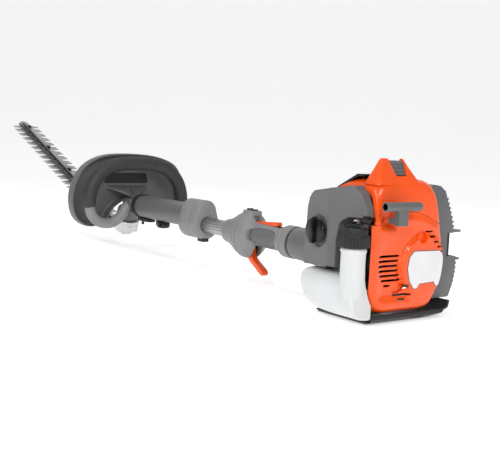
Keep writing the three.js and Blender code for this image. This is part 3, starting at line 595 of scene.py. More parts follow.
def make_lower_cover():
    shell = cut(cover_solid(0, SPLIT_X), cover_solid(WALL, SPLIT_X + 20))
    lower = common(shell, seam_region(-0.35))
    rows = [grille_slot(z, right, left, 1.7) for z, right, left in SLOT_ROWS + LOW_SLOTS]
    rows += [grille_slot(z, right, left, 1.5) for z, right, left in FAN_SLOTS]
    cap_room = rod(23.3, "Z", 20, 200, NECK_AT)
    oval_outline = turned_outline(circle(15, *OVAL_AT, 48, 0.36), -17, OVAL_AT)
    oval = prism(oval_outline, "X", REAR_X - 12, REAR_X + 12)
    oval_floor = prism(grow(oval_outline, 1.2), "X", REAR_X + 9.4, REAR_X + 10.4)
    fit(shaded(oval_floor), "oval_well", "engine", "orange_plastic")
    dial = rod(8.6, "X", REAR_X - 12, REAR_X + 12, DIAL_AT)
    cut(lower, *rows, cap_room, oval, dial)
    dial_floor = turned([(REAR_X + 4, 0.01), (REAR_X + 6, 0.01), (REAR_X + 6, 9.4), (REAR_X - 1, 9.4),
                         (REAR_X - 1, 8.4), (REAR_X + 4, 7.6)], at=DIAL_AT, sides=48)
    fit(shaded(dial_floor), "dial_well", "engine", "orange_plastic")
    return fit(crisp(lower, 0.4, 2, 38), "lower_cover", "engine", "orange_plastic",
               "starter_cover")


BADGE = fillet([(-12, 105), (-3.5, 97), (-0.5, 80), (-5.5, 62), (-15, 50.5), (-21.5, 51),
                (-25.5, 57.5), (-57, 59), (-60.5, 53), (-67, 51.5), (-75, 62), (-78.5, 80),
                (-74, 97), (-66, 104)], [5, 7, 14, 9, 4, 2, 3, 3, 2, 4, 9, 14, 7, 5])


def make_badge():
    """Blank name plate: a sliver of the cover's own surface, standing 0.7 mm proud."""
    plate = cut(cover_solid(-0.7, SPLIT_X), cover_solid(0.6, SPLIT_X + 20))
    common(plate, prism(BADGE, "X", REAR_X - 20, REAR_X + 12))
    fit(crisp(plate, 0.25, 2, 40), "blank_badge", "engine", "badge")
    rim = cut(cover_solid(-0.35, SPLIT_X), cover_solid(0.7, SPLIT_X + 20))
    common(rim, prism(grow(BADGE, 1.1), "X", REAR_X - 20, REAR_X + 12))
    fit(crisp(rim, 0.15, 1, 40), "badge_rim", "engine", "grey_plastic")


def make_insert():
    """Grey louvred plug on the turret, four ribs across."""
    ribs = 4
    tall = (234 - 212.8) / ribs
    side = [(-31, 212.8)]
    for i in range(ribs):
        z = 212.8 + tall * i
        lean = -52.6 + 8 * i / ribs
        side += [(lean, z), (lean - 1.4, z + tall * 0.35), (lean + 2.1, z + tall * 0.97)]
    side.append((-31, 234))
    plug = common(prism(side, "Y", -40, 60), prism(fillet(INSERT_FACE, 1.2), "X", -66, -30))
    fit(crisp(plug, 0.3, 2, 30), "turret_insert", "engine", "grey_plastic", "cover_insert")


# ---- Filter box, tank and engine trim -----------------------------------------------------------
BOX_Y = (62.6, 92)
BOX_X = (-63, 71)
BOX_SIDE = [(-63, 78), (3, 79), (71, 73), (67, 125), (65, 160), (59, 177), (48, 185), (8, 191),
            (-34, 198), (-47, 187), (-58, 164)]
BOX_SIDE_ROUND = [4, 3, 5, 60, 40, 22, 16, 30, 9, 16, 30]
KNOB_AT = (30, 127.5)


def filter_plan(inset):
    """The box from above: two faces meet in a crest near its middle."""
    return [(BOX_X[0] + inset, 58), (BOX_X[0] + inset, 76 - inset), (2, 92 - inset),
            (5, 92 - inset), (BOX_X[1] - inset, 80 - inset), (BOX_X[1] - inset, 58)]


def make_filter_cover():
    side = fillet(BOX_SIDE, BOX_SIDE_ROUND, 6)
    outer = common(prism(side, "Y", BOX_Y[0], 100), prism(filter_plan(0), "Z", 60, 220))
    bay_outline = fillet([(-80, 60), (-10.5, 60), (-10.5, 118), (-14, 144), (-28, 152.5), (-56, 153),
                          (-63, 158), (-80, 158)], [1, 1, 20, 12, 10, 4, 3, 1])
    bay = prism(bay_outline, "Y", 50, 110)
    cavity = common(prism(grow(side, -WALL), "Y", 50, 100), prism(filter_plan(WALL), "Z", 60, 220))
    cut(cavity, prism(grow(bay_outline, WALL), "Y", 40, 120))
    pocket = prism(circle(23.5, *KNOB_AT), "Y", 84.6, 120)
    hole = rod(6.4, "Y", 60, 120, KNOB_AT)
    notch = box((-42, 50, 192.5), (-37.5, 120, 205))
    cut(outer, cavity, bay, pocket, notch, hole)
    floor = cut(turned([(82.4, 7), (84.5, 7), (84.5, 24.4), (82.4, 24.4)], "Y", KNOB_AT, 64),
                box((-80, 50, 60), (KNOB_AT[0] - 23, 120, 200)))
    moulded(outer, 0.9, 5, 0.4)
    fit(shaded(floor), "knob_pocket", "engine", "grey_plastic")
    return fit(outer, "filter_cover", "engine", "grey_plastic", "air_filter_cover")


def make_filter_knob():
    disc = turned([(84.8, 0.01), (84.8, 6), (92.4, 6), (92.4, 19.4), (93.4, 20.8), (94.6, 21),
                   (96.2, 19.6), (97.2, 15), (97.6, 0.01)], "Y", KNOB_AT, 72)
    a, c = KNOB_AT
    grip = [(a - 3.2, c - 18), (a + 3.2, c - 18), (a + 5, c), (a + 3.2, c + 18), (a - 3.2, c + 18),
            (a - 5, c)]
    bar = prism(fillet(grip, [3, 3, 6, 3, 3, 6], 5), "Y", 95, 104, 2.2)
    knob = crisp(join(disc, bar), 0.9, 3, 30)
    return fit(knob, "box_knob", "filter_knob", "black_plastic", "filter_knob")


TANK_OUTLINE = [(100, 60), (101, 42), (95, 21), (80, 10.5), (50, 8), (6, 8), (-4, 15), (-6, 24),
                (14, 34), (44, 46), (54, 60), (62, 70), (88, 70)]
TANK_SIDE = fillet([(-70, 4), (-70, 130), (51.5, 130), (51.5, 66), (49, 48), (41, 32), (22, 16.5),
                    (-20, 7)], [1, 1, 1, 8, 12, 14, 20, 20], 6)


def make_tank():
    outline = smooth_loop(TANK_OUTLINE, 90)
    shell = prism(outline, "X", -29.6, 59, 5)
    rear = common(prism(outline, "X", REAR_X + 4, 0, 5), box((-100, 61, 0), (60, 104, 72)))
    neck = rod(18, "Z", 40, 112, NECK_AT, 0.8)
    seam = prism(grow(outline, 0.45), "X", 12, 13.6)
    lip = turned([(106.5, 17), (106.5, 19.2), (109.5, 19.2), (109.5, 17)], "Z", NECK_AT, 64)
    tank = common(join(shell, rear, neck, seam), prism(TANK_SIDE, "Y", -120, 140))
    join(tank, lip)
    cover_room = prism(grow(COVER_OUTLINE, 1.0), "X", -90, SPLIT_X + 0.3)
    cut(tank, cover_room, rod(15, "Z", 76, 130, NECK_AT))
    moulded(tank, 0.9, 6, 0.4)
    return fit(tank, "tank", "engine", "tank_plastic", "fuel_tank")


def ribbed(radius, depth, count, middle):
    """Round outline with `count` grip ribs."""
    per = 6
    points = []
    for i in range(count * per):
        wave = 0.5 + 0.5 * math.cos(2 * math.pi * i / per)
        angle = 2 * math.pi * i / (count * per)
        reach = radius - depth * (1 - wave) ** 2
        points.append((middle[0] + reach * math.cos(angle), middle[1] + reach * math.sin(angle)))
    return points


def make_cap():
    skirt = prism(ribbed(22.2, 1.3, 30, NECK_AT), "Z", 112.6, 128.5, 0.9)
    shoulder = turned([(112.8, 0.01), (128, 0.01), (128, 20.6), (129.4, 20.6), (131, 19.2),
                       (131, 18.4), (138.4, 17.6), (140, 16), (140, 0.01)], "Z", NECK_AT, 72)
    crown = prism(ribbed(18.6, 0.8, 26, NECK_AT), "Z", 130, 137, 0.7)
    tab = prism(fillet([(NECK_AT[0] - 15, 83.4), (NECK_AT[0] + 15, 83.4), (NECK_AT[0] + 17, 86),
                        (NECK_AT[0] + 15, 88.6), (NECK_AT[0] - 15, 88.6), (NECK_AT[0] - 17, 86)],
                       2, 4), "Z", 139, 145, 1.4)
    cap = crisp(join(skirt, crown, shoulder, tab), 0.35, 2, 42)
    return fit(cap, "cap", "fuel_cap", "dark_plastic", "fuel_cap")


def make_choke():
    knob = prism(ribbed(5.4, 0.5, 12, CHOKE_AT), "Y", 70, 80, 1.2)
    stem = rod(3, "Y", 50, 71, CHOKE_AT)
    return fit(crisp(join(knob, stem), 0.3), "choke", "choke", "black_plastic", "choke_knob")


HANDLE_AT = (-87, 172)


def make_pull_handle():
    """Grey T-handle: round bar with a waisted stem, hollow at its left end with painted shade inside the
    bore.
    """
    a, c = HANDLE_AT
    stations = [(1, 4.2), (2.4, 5.9), (5, 6.9), (14, 6.6), (30, 6.4), (48, 6.4), (60, 6.7),
                (69.4, 7.0), (70.6, 6.6), (71, 6.2)]
    bar = loft([[place(p, q, y, "Y") for p, q in circle(r, a, c, 48)] for y, r in stations])
    stem = box((a - 5.6, 30.2, 145.2), (a + 5.6, 47.8, c))
    foot = rod(5, "X", a, REAR_X - 1, (39, 151), sides=40)
    bore = rod(5.0, "Y", 60, 80, HANDLE_AT)
    handle = cut(moulded(gather(bar, stem, foot), 0.7, 7, 0.4), bore)
    # Black cup inside the bore: painted shade for the dark inside of the hollow end.
    liner = turned([(60.2, 0.01), (60.2, 4.9), (70, 4.9), (70, 4.4), (61.4, 4.4), (61.4, 0.01)],
                   "Y", HANDLE_AT, 40)
    fit(shaded(liner), "handle_end_shade", "pull_handle", "black_plastic")
    return fit(shaded(handle, 50), "starter_handle", "pull_handle", "grey_plastic",
               "pull_handle")


TEETH = [(176, -105.6), (169, -108.4), (162, -111.2), (155, -114), (148, -117), (141, -119.6),
         (134, -121.6), (77, -131.6), (70, -131.4), (63, -130.6), (56, -129.4), (49, -127.8),
         (42, -125)]


def make_muffler_guard():
    """Louvred side guard, its teeth standing out along the right edge, and a dark block behind the
    louvres as painted shade.
    """
    guard = from_cad("muffler_guard")
    crisp(guard, 0.6, 2, 30)
    teeth = []
    for z, out in TEETH:
        side = [(out, z + 1), (out + 13, z - 2.6), (out + 13, z + 4.4), (out, z + 3.4)]
        teeth.append(prism(side, "X", -43.4, -24))
        teeth.append(prism(side, "X", -14, 38))
    # Dark block behind the louvres: painted shade for the dark space behind them, where the muffler sits.
    teeth.append(box((-43, -113, 88), (34, -107.2, 126.6)))
    fit(crisp(gather(*teeth), 0.3, 1, 30), "guard_teeth_and_shade_block", "engine", "dark_plastic")
    return fit(guard, "muffler_cover", "engine", "grey_plastic", "muffler_guard")


def make_base():
    base = moulded(from_cad("base_guard"), 0.9, 4, 0.4)
    return fit(base, "base", "engine", "dark_plastic", "base_guard")


def make_roof_plate():
    """Black plate along the cover's roof, following its bend."""
    side = [(-27, 210), (-15, 210), (33, 185.8), (35, 188.6), (-14, 213.2), (-27, 213.2)]
    plan = fillet([(-27, -39), (34, -34), (34, 50), (29, 57), (-27, 57.6)], 4, 4)
    plate = common(prism(side, "Y", -39, 57.6), prism(plan, "Z", 150, 240))
    return fit(crisp(plate, 0.5, 2, 35), "roof_plate", "engine", "black_plastic", "top_plate")


# ---- Shaft and throttle handle ------------------------------------------------------------------
TUBE_R = 15
TUBE_ROOM_R = 15.4


def make_clutch_housing():
    profile = [(62.5, 29), (62.5, 44.8), (63.7, 46), (73, 46), (75.4, 45), (84, 40.2), (96, 35.6),
               (106, 32.6), (106, 31.6), (110, 31.6), (110, 32), (128, 30), (150, 28), (176, 27.1),
               (180, 26.6), (181, 25.6), (181, 15.5), (120, 15.5), (100, 28), (84, 29)]
    housing = turned(profile)
    ribs = []
    for i in range(8):
        angle = math.radians(22.5 + 45 * i)
        rib = box((64, -1.6, 28), (98, 1.6, 43.4))
        rib.data.transform(Matrix.Rotation(angle, 4, "X"))
        rib.data.transform(Matrix.Translation((0, 0, SHAFT_Z * MM)))
        ribs.append(rib)
    cone = turned([(62.6, 20), (62.6, 45.8), (74, 45.8), (98, 36), (98, 20)])
    cut(join(housing, common(join(*ribs), cone)), box((60, -4, 112), (76, 60, 140)))
    return fit(crisp(housing, 0.5, 2, 30), "clutch_bell", "engine", "grey_plastic",
               "clutch_housing")


def make_rings():
    damper = turned([(181.3, 15.4), (181.3, 24.4), (182, 25), (184.5, 25), (185.1, 24.4),
                     (185.1, 15.4)])
    fit(shaded(damper), "rubber_ring", "engine", "black_rubber", "damper_ring")
    ring = turned([(185.6, 15.4), (185.6, 26.6), (186.6, 27.5), (199, 27.5), (200, 26.7), (201.4, 26.7),
                   (202.4, 27.5), (206, 27.4), (210, 25.6), (214.2, 23.2), (215, 22.2), (215, 15.4)])
    return fit(shaded(ring), "tube_ring", "engine", "mid_grey_plastic", "rear_ring")


def make_drive_tube():
    flutes = 16
    outline = []
    for i in range(flutes * 10):
        angle = 2 * math.pi * i / (flutes * 10)
        wave = abs(math.cos(flutes * angle / 2))
        radius = TUBE_R - 0.95 * (1 - wave) ** 1.5
        outline.append((radius * math.cos(angle), SHAFT_Z + radius * math.sin(angle)))
    bar = cut(prism(outline, "X", 104, 488, 0.4), rod(12.5, "X", 90, 500, (0, SHAFT_Z)))
    return fit(shaded(bar, 40), "fluted_tube", "engine", "tube_aluminium", "drive_tube")


BELL_Z = SHAFT_Z - 2
BELL_SQUASH = (0.88, 1.14)


def bell(profile):
    return turned(profile, at=(0, BELL_Z), squash=BELL_SQUASH)


def make_bell_cover():
    profile = [(322.5, 30), (322.5, 36.4), (323.3, 37), (328, 36.6), (334, 35), (342, 32.4),
               (350, 29), (359, 25.4), (368, 22.2), (378, 20), (387.6, 18.5), (389, 17.6),
               (389, 15), (364, 15), (350, 26), (334, 32)]
    cover = cut(bell(profile), box((290, -11.4, 100), (330.4, 11.4, 140)),
                rod(TUBE_ROOM_R, "X", 300, 400, (0, SHAFT_Z)))
    groove = bell([(331.2, 34.6), (331.2, 40), (332.6, 40), (332.6, 34.2)])
    cut(cover, groove)
    return fit(crisp(cover, 0.5, 2, 32), "bell_front", "engine", "mid_grey_plastic", "bell_cover")


def bell_spindle(profile):
    return spindle(profile, (0, BELL_Z), squash=BELL_SQUASH)


def handle_solid():
    grip = spindle([(215.5, 17.6), (216.4, 19.2), (219, 20), (240, 19.7), (262, 19.4), (284, 19.6),
                    (300, 20), (309, 20)])
    rim = bell_spindle([(290, 19.4), (293, 22.5), (297, 27.4), (302, 32.6), (307, 35.8), (311, 36.9),
                        (321, 36.9), (322, 36.2)])
    saddle = loft([[(x, *p) for p in rounded_box(-w, 88, w, top, 4, 4)]
                   for x, w, top in ((228, 9.2, 105), (232, 9.6, 107.2), (260, 9.8, 107.6),
                                     (292, 10.4, 109), (303, 11, 112))])
    switch_box = loft([[(x, *p) for p in rounded_box(-w, 100, w, top, 2.6, 4)]
                       for x, w, top in ((300, 10.2, 126.6), (301.5, 11, 128.4), (328.4, 11, 128.4),
                                         (330, 10.2, 126.8))])
    hollow = bell_spindle([(306, 27.6), (312, 33.6), (324, 33.6)])
    trigger_bay = box((272, -9, 30), (318, 9, 74))
    lockout_slot = box((230, -6.3, 99.4), (303.6, 6.3, 120))
    rocker_bay = box((304, -7, 121.6), (326, 7, 134))
    solid = join(grip, rim, saddle, switch_box)
    return cut(solid, hollow, spindle([(221, 17.2), (330.5, 17.2)]), trigger_bay, lockout_slot,
               rocker_bay, spindle([(200, TUBE_ROOM_R), (340, TUBE_ROOM_R)]))


def make_handle(side, name, node):
    solid = handle_solid()
    half = box((190, 0.16, 0), (350, 90, 190)) if side > 0 else box((190, -90, 0), (350, -0.16, 190))
    common(solid, half)
    outline = fillet([(223, 73), (240, 69.5), (277, 69.5), (298, 79), (298, 97), (277, 101.5),
                      (240, 101.5), (223, 98)], 7, 5)
    outward = (8, 60) if side > 0 else (-60, -8)
    pocket = prism(outline, "Y", *outward)
    keep = spindle([(200, 18.8), (320, 18.8)])
    cut(solid, cut(pocket, keep))
    fit(crisp(solid, 0.45, 2, 34), name, "engine", "mid_grey_plastic", node)
    profile = [(221, 17.4), (221, 18.9)]
    for i in range(15):
        x = 227 + 4.4 * i
        profile += [(x, 18.9), (x + 0.4, 19.4), (x + 2.2, 19.4), (x + 2.6, 18.9)]
    panel = turned([*profile, (300, 18.9), (300, 17.4)])
    common(panel, prism(grow(outline, -0.5), "Y", *outward))
    return fit(crisp(panel, 0.2, 1, 40), name + "_panel", "engine", "grey_plastic")


def make_trigger():
    side = smooth_loop([(316, 63), (308.5, 63), (306, 52), (300, 44), (286, 36), (272, 27.5),
                        (268, 22), (271, 17), (278, 18.5), (292, 27), (306, 35), (314, 42),
                        (317, 52)], 110)
    trigger = prism(grow(side, -0.3), "Y", -6.5, 6.5, 1.6)
    cut(trigger, rod(2.35, "Y", -20, 20, (312, 60)))
    return fit(shaded(trigger, 40), "trigger", "trigger", "orange_plastic", "throttle_trigger")


def make_lockout():
    side = fillet([(302, 103.4), (302, 109.5), (296, 110.5), (236, 115), (233.5, 113), (234, 108),
                   (262, 105.4), (290, 103.4)], [1, 1, 6, 1.6, 1, 2, 10, 6], 5)
    lever = prism(side, "Y", -5.6, 5.6, 1.2)
    grooves = [rod(0.7, "Y", -4.2, 4.2, (241 + 3.2 * i, 115.2 - 0.24 * i), sides=16) for i in range(5)]
    cut(lever, *grooves)
    return fit(crisp(lever, 0.2, 1, 40), "lockout", "lockout", "orange_plastic", "lockout_lever")


def make_stop_switch():
    side = fillet([(305, 124), (325, 124), (324, 132), (316, 129.5), (306, 131)], [0.5, 0.5, 1.5, 4, 1.5])
    rocker = prism(side, "Y", -6, 6, 0.8)
    grooves = [box((308 + 2.4 * i, -4, 129.6), (309 + 2.4 * i, 4, 134)) for i in range(2)]
    cut(rocker, *grooves)
    return fit(crisp(rocker, 0.25), "stop_rocker", "stop_switch", "dark_plastic", "stop_switch")


# ---- Front section ------------------------------------------------------------------------------
SLEEVE_Z = SHAFT_Z + 13
SLEEVE_ROOM_R = 23.9
LOOP_X = 745
LOOP_R = 11
LOOP_ROOM_R = 11.35


def egg(low_r, high_r):
    """Outline round two circles, the larger one on the shaft axis."""
    high_z, count = 111, 96
    tilt = math.asin((low_r - high_r) / (high_z - SHAFT_Z))
    low = np.linspace(math.pi - tilt, 2 * math.pi + tilt, count // 2)
    high = np.linspace(tilt, math.pi - tilt, count // 2)
    points = [(low_r * math.cos(t), SHAFT_Z + low_r * math.sin(t)) for t in low]
    points += [(high_r * math.cos(t), high_z + high_r * math.sin(t)) for t in high]
    return resample(np.array(points), count)


def make_collar():
    """Twist collar: a stepped egg-shaped sleeve with a rounded rear lip."""
    stations = [(460, 24.4, 18), (461, 26, 19.5), (462.6, 26.5, 20), (463.4, 28, 21.4),
                (465, 28.5, 22), (484, 28.5, 22), (485, 28, 21.6), (486.4, 28, 21.6), (487.4, 28.5, 22),
                (520, 28.5, 22), (521.4, 28, 21.4), (522, 27, 20.4)]
    collar = loft([[(x, *p) for p in egg(low, high)] for x, low, high in stations])
    cut(collar, rod(TUBE_ROOM_R, "X", 455, 489.5, (0, SHAFT_Z)),
        rod(SLEEVE_ROOM_R, "X", 489, 530, (0, SLEEVE_Z)), box((462.5, -7.5, 50), (484.5, 7.5, 65)))
    return fit(crisp(collar, 0.4, 2, 34), "collar", "front", "mid_grey_plastic", "twist_collar")


def make_collar_arrow():
    """White double-headed arrow curving round the lobe on the collar's rear face."""
    middle, reach, half = (0, 109), 15.5, 1.3
    sweep = [math.radians(20 + 5 * i) for i in range(25)]
    outline = [(middle[0] + (reach + half) * math.cos(t), middle[1] + (reach + half) * math.sin(t))
               for t in sweep]
    outline += [(middle[0] + (reach - half) * math.cos(t), middle[1] + (reach - half) * math.sin(t))
                for t in reversed(sweep)]
    pieces = [prism(outline, "X", 460.3, 463)]
    for angle, way in ((sweep[0], -1), (sweep[-1], 1)):
        along = Vector((-math.sin(angle), math.cos(angle))) * way
        out = Vector((math.cos(angle), math.sin(angle)))
        foot = Vector(middle) + out * reach
        tip = [foot + along * 5.4, foot + out * 4, foot - out * 4]
        pieces.append(prism([tuple(p) for p in tip], "X", 460.3, 463))
    return fit(crisp(gather(*pieces), 0.08, 1, 60), "turn_arrow", "front", "badge")


def make_latch():
    latch = prism(rounded_box(463, -7, 484, 7, 2, 4), "Z", 52.5, 60.5, 1.4)
    grooves = [box((466 + 3.2 * i, -5, 50), (467.2 + 3.2 * i, 5, 53.2)) for i in range(5)]
    cut(latch, *grooves)
    return fit(crisp(latch, 0.25), "latch", "collar_latch", "dark_plastic", "collar_latch")


def make_sleeve():
    profile = [(490.5, 20.5), (490.5, 22.8), (491.3, 23.5), (524, 23.5), (524.6, 23.1), (526, 23.1),
               (526.6, 23.5), (722.2, 23.5), (723, 22.8), (723, 20.5)]
    sleeve = turned(profile, at=(0, SLEEVE_Z))
    fit(shaded(sleeve), "sleeve", "front", "grey_plastic", "front_sleeve")
    band = turned([(710, 23.9), (710, 25), (710.8, 25.7), (722.2, 25.7), (723, 25), (723, 23.9)],
                  at=(0, SLEEVE_Z))
    plate = prism(rounded_box(676, -9, 722.5, 9, 2, 4), "Z", 68, 74.5, 0.8)
    pin = rod(3, "Z", 60, 69, (714, 0), 0.6)
    common(plate, box((600, -60, 60), (723, 60, 76)))
    cut(plate, rod(SLEEVE_ROOM_R, "X", 600, 730, (0, SLEEVE_Z)))
    return fit(crisp(join(band, plate, pin), 0.35, 2, 34), "band", "front", "dark_plastic",
               "sleeve_band")


def make_lug():
    """Cable lug under the sleeve with its clamp bolt."""
    body = prism(fillet([(612, 66), (612, 78), (646, 78), (646, 66), (638, 61.4), (618, 61.4)],
                        [1, 1, 1, 2, 4, 4], 4), "Y", -7, 7)
    cut(body, rod(23.3, "X", 600, 660, (0, SLEEVE_Z)))
    bolt = rod(3.2, "Y", 6, 10.4, (628, 66.5), 0.5, sides=6)
    join(body, bolt)
    return fit(crisp(body, 0.35), "lug", "front", "black_plastic")


LOOP_ROUTE = [(4, 99), (22, 97), (36, 78), (58, 62), (86, 63), (105, 78), (112, 100), (111, 124),
              (100, 152), (76, 176), (40, 187), (0, 189), (-40, 187), (-76, 176), (-100, 152),
              (-111, 124), (-112, 100), (-102, 84), (-80, 78), (-48, 84), (-22, 97), (-4, 99)]


def loop_route(count):
    return smooth_route([(LOOP_X, *p) for p in LOOP_ROUTE], count)


def make_loop():
    route = loop_route(200)
    bar = cut(tube(route, LOOP_R), rod(13.4, "X", 700, 800, (0, SHAFT_Z)))
    fit(shaded(bar, 40), "loop_bar", "front", "mid_grey_plastic", "loop_tube")
    kept = [p for p in route if p[2] > 95 and abs(p[1]) > 60] + \
        [p for p in route if p[2] > 170 and abs(p[1]) <= 60]
    kept.sort(key=lambda p: math.atan2(p[1], p[2] - 80))
    steps = len(kept)
    sizes = []
    for i in range(steps):
        end = min(i, steps - 1 - i)
        sizes.append(14.5 - 2.4 * math.exp(-end / 1.1))
    grip = cut(tube(kept, sizes, 40), tube(route, LOOP_ROOM_R))
    dots = []
    for y in (74, 34, -34, -74):
        near = min(route, key=lambda p: abs(p[1] - y) - (1000 if p[2] > 150 else 0))
        dots.append(rod(2.4, "X", near[0] - 14.42, near[0] - 12.4, (near[1], near[2]), sides=24))
    fit(shaded(grip, 50), "loop_foam", "front", "soft_grip", "loop_grip")
    return fit(shaded(join(*dots), 40), "grip_studs", "front", "black_plastic")


def make_loop_clamp():
    block = prism(fillet([(-26, 100.4), (26, 100.4), (26, 108), (20, 114), (-20, 114), (-26, 108)],
                         [1, 1, 4, 3, 3, 4], 4), "X", 726.5, 762, 1.6)
    route = loop_route(120)
    cut(block, tube(route, LOOP_ROOM_R))
    return fit(crisp(block, 0.4, 2, 34), "clamp", "front", "grey_plastic", "loop_clamp")


GUARD_OUTLINE = [(-138, 110), (-134, 150), (-112, 186), (-64, 204), (0, 209), (64, 204), (108, 182),
                 (132, 144), (138, 104), (128, 70), (104, 52), (76, 52), (54, 66), (38, 90),
                 (0, 110), (-38, 94), (-64, 68), (-100, 56), (-126, 74)]


def make_hand_guard():
    """Dished shield open towards the user, a shallow recess on its face with painted shade on its floor,
    and a saddle to the clamp.
    """
    outline = smooth_loop(GUARD_OUTLINE, 160)
    dish = prism(outline, "X", 774, 800, 5)
    room = prism(grow(outline, -3.2), "X", 760, 796.8, 4)
    panel = fillet([(44, 166), (-50, 166), (-55, 143), (56, 143)], 5, 5)
    recess = prism(panel, "X", 790, 798.8)
    # Dark plate on the recess floor: painted shade for the recess.
    fit(shaded(prism(grow(panel, -0.3), "X", 798, 798.7), 40), "guard_recess_shade", "front", "dark_plastic")
    stations = []
    for x, wide, low, high in ((727, 15, 114.4, 117.6), (745, 15.6, 114.4, 118), (756, 16, 117.6, 122.4),
                               (766, 23, 121.4, 126.6), (776, 33, 125.2, 131), (788, 46, 129.6, 135.2),
                               (798, 57, 133.4, 137.8)):
        corners = [(-wide, low), (wide, low), (wide * 0.9, high), (-wide * 0.9, high)]
        stations.append([(x, *p) for p in fillet(corners, 1.5, 4)])
    saddle = loft(stations)
    slit = prism(rounded_box(758, -2.6, 782, 2.6, 2.4, 4), "Z", 100, 150)
    moulded(gather(cut(dish, room), saddle), 1.1, 3, 0.45)
    cut(dish, recess, slit)
    return fit(shaded(dish, 50), "shield", "front", "grey_plastic", "hand_guard")


# ---- Cutting head -------------------------------------------------------------------------------
HEAD_AT = Vector((800, 0, 35.7))
BLADE_RISE = math.radians(20.8)
BLADE_START = 42
BLADE_END = 668
TOOTH_START = 84
TOOTH_PITCH = 31
CASE_ROOM_R = 28.5
BOLT_STATIONS = (333, 476, 620)
BOLT_V = -4
SLOT_HALF = 3.6


def in_head(piece):
    """Moves a piece drawn along the blades, about the gear's centre, to its place."""
    piece.data.transform(Matrix.Rotation(-BLADE_RISE, 4, "Y"))
    piece.data.transform(Matrix.Translation(HEAD_AT * MM))
    return piece


def head_turned(profile):
    return in_head(turned(profile, "Z", (0, 0), 72))


def make_gear_head():
    neck = turned([(723.6, 7.6), (723.6, 12.2), (724.4, 13), (768, 13), (776, 14.5), (790, 14.5),
                   (790, 4.6), (764, 4.6), (740, 7.6)])
    dome = head_turned([(34.4, 21), (34.4, 23.6), (35, 24), (52, 24), (57, 22.4), (59.4, 19),
                        (60, 15), (60, 0.01), (56, 0.01), (56, 20), (40, 21)])
    clear = in_head(rod(20.5, "Z", 30, 55.9, (0, 0)))
    neck = cut(join(neck, dome), clear)
    fit(crisp(neck, 0.5, 2, 34), "head_neck", "front", "grey_plastic", "gear_neck")
    case = head_turned([(2, 12.2), (2, 19.4), (2.6, 20.2), (12, 27.4), (14, 28), (24.6, 28),
                        (25.2, 27.3), (26.4, 27.3), (27, 28), (33.2, 28), (34, 27.2), (34, 7),
                        (30.8, 7), (30.8, 23), (12, 23), (12, 16), (5, 16), (5, 12.2)])
    ears = in_head(prism(fillet([(20, -17), (40, -17), (46, -12), (46, 12), (40, 17), (20, 17)],
                                [1, 6, 6, 6, 6, 1], 5), "Z", 2, 12, 1))
    bosses = [in_head(rod(4.2, "Z", 8, 32.8, (25.4 * math.cos(t), 25.4 * math.sin(t)), 0.8))
              for t in (0.7, 2.35, 3.93, 5.5)]
    shell = join(case, ears, *bosses)
    cut(shell, in_head(rod(22.8, "Z", 12.5, 30.6, (0, 0))))
    return fit(crisp(shell, 0.4, 2, 32), "head_case", "front", "cast_aluminium", "gear_case")


def tooth_row(phase):
    """One edge of a blade from its root to its tip, as (u, v)."""
    points = [(BLADE_START, 12), (70, 14)]
    for i in range(int((BLADE_END - 90) / TOOTH_PITCH)):
        u = TOOTH_START + phase + i * TOOTH_PITCH
        points += [(u - 1.6, 14), (u + 0.8, 15.6), (u + 5.8, 34.4), (u + 6.8, 35), (u + 10.2, 35),
                   (u + 11.2, 34.4), (u + 16.2, 15.6), (u + 18.6, 14)]
    points += [(BLADE_END - 16 + phase / 2, 12), (BLADE_END - 10 + phase / 2, 4)]
    return points


def make_blade(name, body, node, phase, low, high):
    edge = tooth_row(phase)
    outline = edge + [(u, -v) for u, v in reversed(edge)]
    blade = prism(outline, "Z", low, high, 0.0)
    slots = [prism(rounded_box(u - 13, BOLT_V - SLOT_HALF, u + 13, BOLT_V + SLOT_HALF, 3.5),
                   "Z", low - 1, high + 1) for u in BOLT_STATIONS]
    cut(blade, *slots)
    in_head(blade)
    return fit(crisp(blade, 0.55, 1, 34), name, body, "blade_steel", node)


def make_guide_bar():
    shape = fillet([(34, -11), (BLADE_END - 14, -10), (BLADE_END - 6, -6), (BLADE_END - 6, 6),
                    (BLADE_END - 14, 10), (34, 11)], [2, 5, 5, 5, 5, 2], 5)
    bar = prism(shape, "Z", -3.4, 1.6)
    lobes = [rod(5.2, "Z", 1.65, 3.6, (TOOTH_START + TOOTH_PITCH * i, 8.6), sides=40) for i in range(18)]
    # The rail is painted black: painted shade for the shaded side face of the raised rail.
    rail = prism(rounded_box(60, 3.4, BLADE_END - 30, 10, [1, 3, 3, 1], 4), "Z", 1, 6, 1.2)
    join(rail, *lobes)
    cut(bar, rod(CASE_ROOM_R, "Z", 1.65, 40, (0, 0)),
        *[rod(3.3, "Z", -10, 10, (u, BOLT_V)) for u in BOLT_STATIONS])
    cut(rail, rod(CASE_ROOM_R, "Z", 1.65, 40, (0, 0)))
    fit(crisp(in_head(rail), 0.35, 2, 34), "spine_rail", "front", "blackened_steel")
    return fit(crisp(in_head(bar), 0.35, 2, 34), "spine_bar", "front", "blade_steel", "guide_bar")


def make_bar_bolt(number, u):
    head = prism(circle(5.5, u, BOLT_V, sides=6), "Z", 2.2, 5.5, 0.5)
    washer = rod(5.5, "Z", 1.95, 2.4, (u, BOLT_V), 0.1)
    shank = rod(3, "Z", -9, 2.2, (u, BOLT_V))
    nut = prism(circle(5, u, BOLT_V, sides=6), "Z", -11.4, -8.8, 0.4)
    bolt = in_head(join(head, washer, shank, nut))
    return fit(crisp(bolt, 0.2, 1, 30), f"spine_bolt_{number}", "front", "blackened_steel",
               f"bar_bolt_{number}")


# ---- Inner pieces, seen through slots and openings ----------------------------------------------
# Parts seen through the slots, painted near-black as painted shade.
SHADE_PAINTED_NODES = ("flywheel", "crankcase", "recoil_spring", "starter_pulley")


